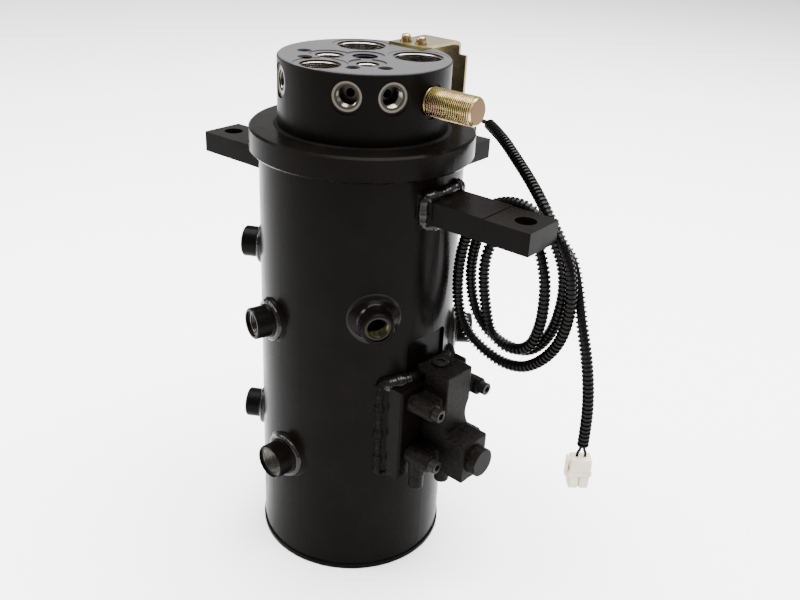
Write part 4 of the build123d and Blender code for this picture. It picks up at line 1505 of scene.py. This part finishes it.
@dataclass
class Housing:
    """The barrel, cover and lugs, and the parts inside."""

    painted: tuple[str, ...] = (
        "housing_barrel", "base_cover", "lug_front", "lug_rear", "lug_side", "valve_block",
    )
    seals: int = 7
    rubber: Paint = Paint("seal_rubber", (0.0014, 0.0013, 0.0012), (0.003, 0.0028, 0.0026), 0.6)
    seal: Paint = Paint("seal_plastic", (0.7, 0.69, 0.64), (0.76, 0.75, 0.71), 0.4)
    guide: Paint = Paint("guide_plastic", (0.2, 0.16, 0.1), (0.27, 0.21, 0.13), 0.6)

    def build(self, paint: Material, steel: Material) -> None:
        """Dress the housing's own nodes.

        Args:
            paint: Black paint.
            steel: Black steel of the cover's screws.
        """
        dress(paint, *self.painted)
        dress(steel, "base_cover_screws")
        dress(self.rubber.material(), "base_cover_seal", "wiper_seal")
        dress(self.seal.material(), *(f"rotary_seal_{number}" for number in range(1, self.seals + 1)))
        dress(self.guide.material(), "guide_ring_upper", "guide_ring_lower")


@dataclass
class Rotor:
    """The parts that turn with the head, other than the head itself and the stud."""

    sheet: Zinc = Zinc(
        "bracket_zinc", ((0.15, 0.14, 0.05), (0.3, 0.27, 0.11), (0.25, 0.19, 0.12)), 0.3, patch=28.0
    )
    plated: Zinc = Zinc(
        "screw_zinc", ((0.2, 0.135, 0.06), (0.34, 0.25, 0.12), (0.24, 0.14, 0.08)), 0.22, patch=160.0
    )
    brass: Metal = Metal("thrust_brass", ((0.55, 0.4, 0.17), (0.62, 0.47, 0.22)), 0.35)
    screw: Profile = (
        (-13.0, 0.0), (-13.0, 2.4), (0.0, 2.4), (0.0, 4.9), (2.8, 4.9), (4.4, 4.6), (5.4, 3.8), (5.9, 2.6),
        (6.0, 1.7), (4.6, 1.5), (4.6, 0.0),
    )
    screw_places: tuple[tuple[str, Place], ...] = (
        ("left", (-0.0095, 0.0725, 0.5354)), ("right", (0.0095, 0.0725, 0.5354)),
    )
    screw_sides: int = 32

    def build(self, dark: Material, steel: Material) -> None:
        """Dress the bracket, its fasteners, the plugs and the parts under the stem.

        Args:
            dark: Black steel of the gallery plugs.
            steel: Plain steel.
        """
        dress(self.sheet.material(), "bracket")
        finish = self.plated.material()
        dress(finish, "bracket_washers")
        self.screws(finish)
        dress(dark, "gallery_plugs")
        dress(steel, "retaining_plate", "retaining_bolts")
        dress(self.brass.material(), "thrust_washer")

    def screws(self, finish: Material) -> None:
        """Build the bracket's two screws, with domed heads.

        Args:
            finish: Their plating.
        """
        for name, place in self.screw_places:
            mesh = straight_tube(in_metres(self.screw), self.screw_sides)
            mesh.transform(outward_matrix(place, UP))
            piece = add_piece(f"bracket_screw_{name}", mesh, finish, Body.ROTOR, sharp=40.0)
            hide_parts("bracket_screws")


def main() -> None:
    """Build the swivel's looks, piece by piece."""
    logging.basicConfig(level=logging.INFO)
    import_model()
    Viewpoint().build()
    plastic = Paint(
        "black_plastic", (0.0014, 0.0012, 0.001), (0.003, 0.0026, 0.0022), 0.24, depth=0.00001, sheen=0.07
    ).material()
    ivory = Paint("connector_plastic", (0.5, 0.44, 0.33), (0.62, 0.56, 0.44), 0.3, grain=500.0, sheen=0.5)
    wiring = Wiring()
    wiring.conduit(plastic, Connector().build(ivory.material()))
    wiring.upper_wires(plastic)
    dress(plastic, "cable_gland", "wire_lower_a", "wire_lower_b")
    LOG.info("wiring done")
    paint = Paint("housing_paint", (0.0016, 0.0012, 0.001), (0.0025, 0.0019, 0.0016), 0.24).material()
    black_steel = Paint(
        "bolt_black", (0.003, 0.0027, 0.0024), (0.009, 0.0078, 0.0068), 0.34, grain=1500.0, sheen=0.045
    ).material()
    Housing().build(paint, black_steel)
    LOG.info("housing done")
    dark = Metal("dark_steel", ((0.05, 0.047, 0.043), (0.12, 0.11, 0.1)), 0.28).material()
    green = Metal("greenish_steel", ((0.02, 0.02, 0.009), (0.06, 0.057, 0.03)), 0.2, patch=90.0).material()
    Bosses().build(dark, green)
    shades = ((0.002, 0.0016, 0.0013), (0.005, 0.0042, 0.0036))
    weld = Paint("weld_paint", *shades, 0.14, grain=1500.0, depth=0.00008, sheen=0.16).material()
    smooth = Paint("dish_paint", (0.0016, 0.0012, 0.001), (0.0025, 0.0019, 0.0016), 0.2, sheen=0.08)
    iron = Casting("valve_iron").material()
    Welds().build(weld, smooth.material(), iron)
    LOG.info("bosses and welds done")
    Valve().build(iron, black_steel)
    LOG.info("valve done")
    bright = Metal("bright_steel", ((0.17, 0.157, 0.14), (0.34, 0.32, 0.29)), 0.2).material()
    worn = Metal("worn_steel", ((0.08, 0.072, 0.06), (0.2, 0.18, 0.155)), 0.16).material()
    rusty = Metal("filmed_steel", ((0.26, 0.235, 0.21), (0.075, 0.024, 0.017)), 0.25, patch=38.0)
    Head().build(bright, worn, black_steel, rusty.material())
    tints = ((0.33, 0.27, 0.1), (0.46, 0.37, 0.17), (0.44, 0.27, 0.18))
    Stud().build(StudZinc("stud_zinc", tints, 0.25, patch=90.0).material())
    steel = Metal("plain_steel", ((0.42, 0.42, 0.42), (0.55, 0.55, 0.54)), 0.32).material()
    Rotor().build(black_steel, steel)
    LOG.info("rotor done")
    Studio().build()


if __name__ == "__main__":
    main()
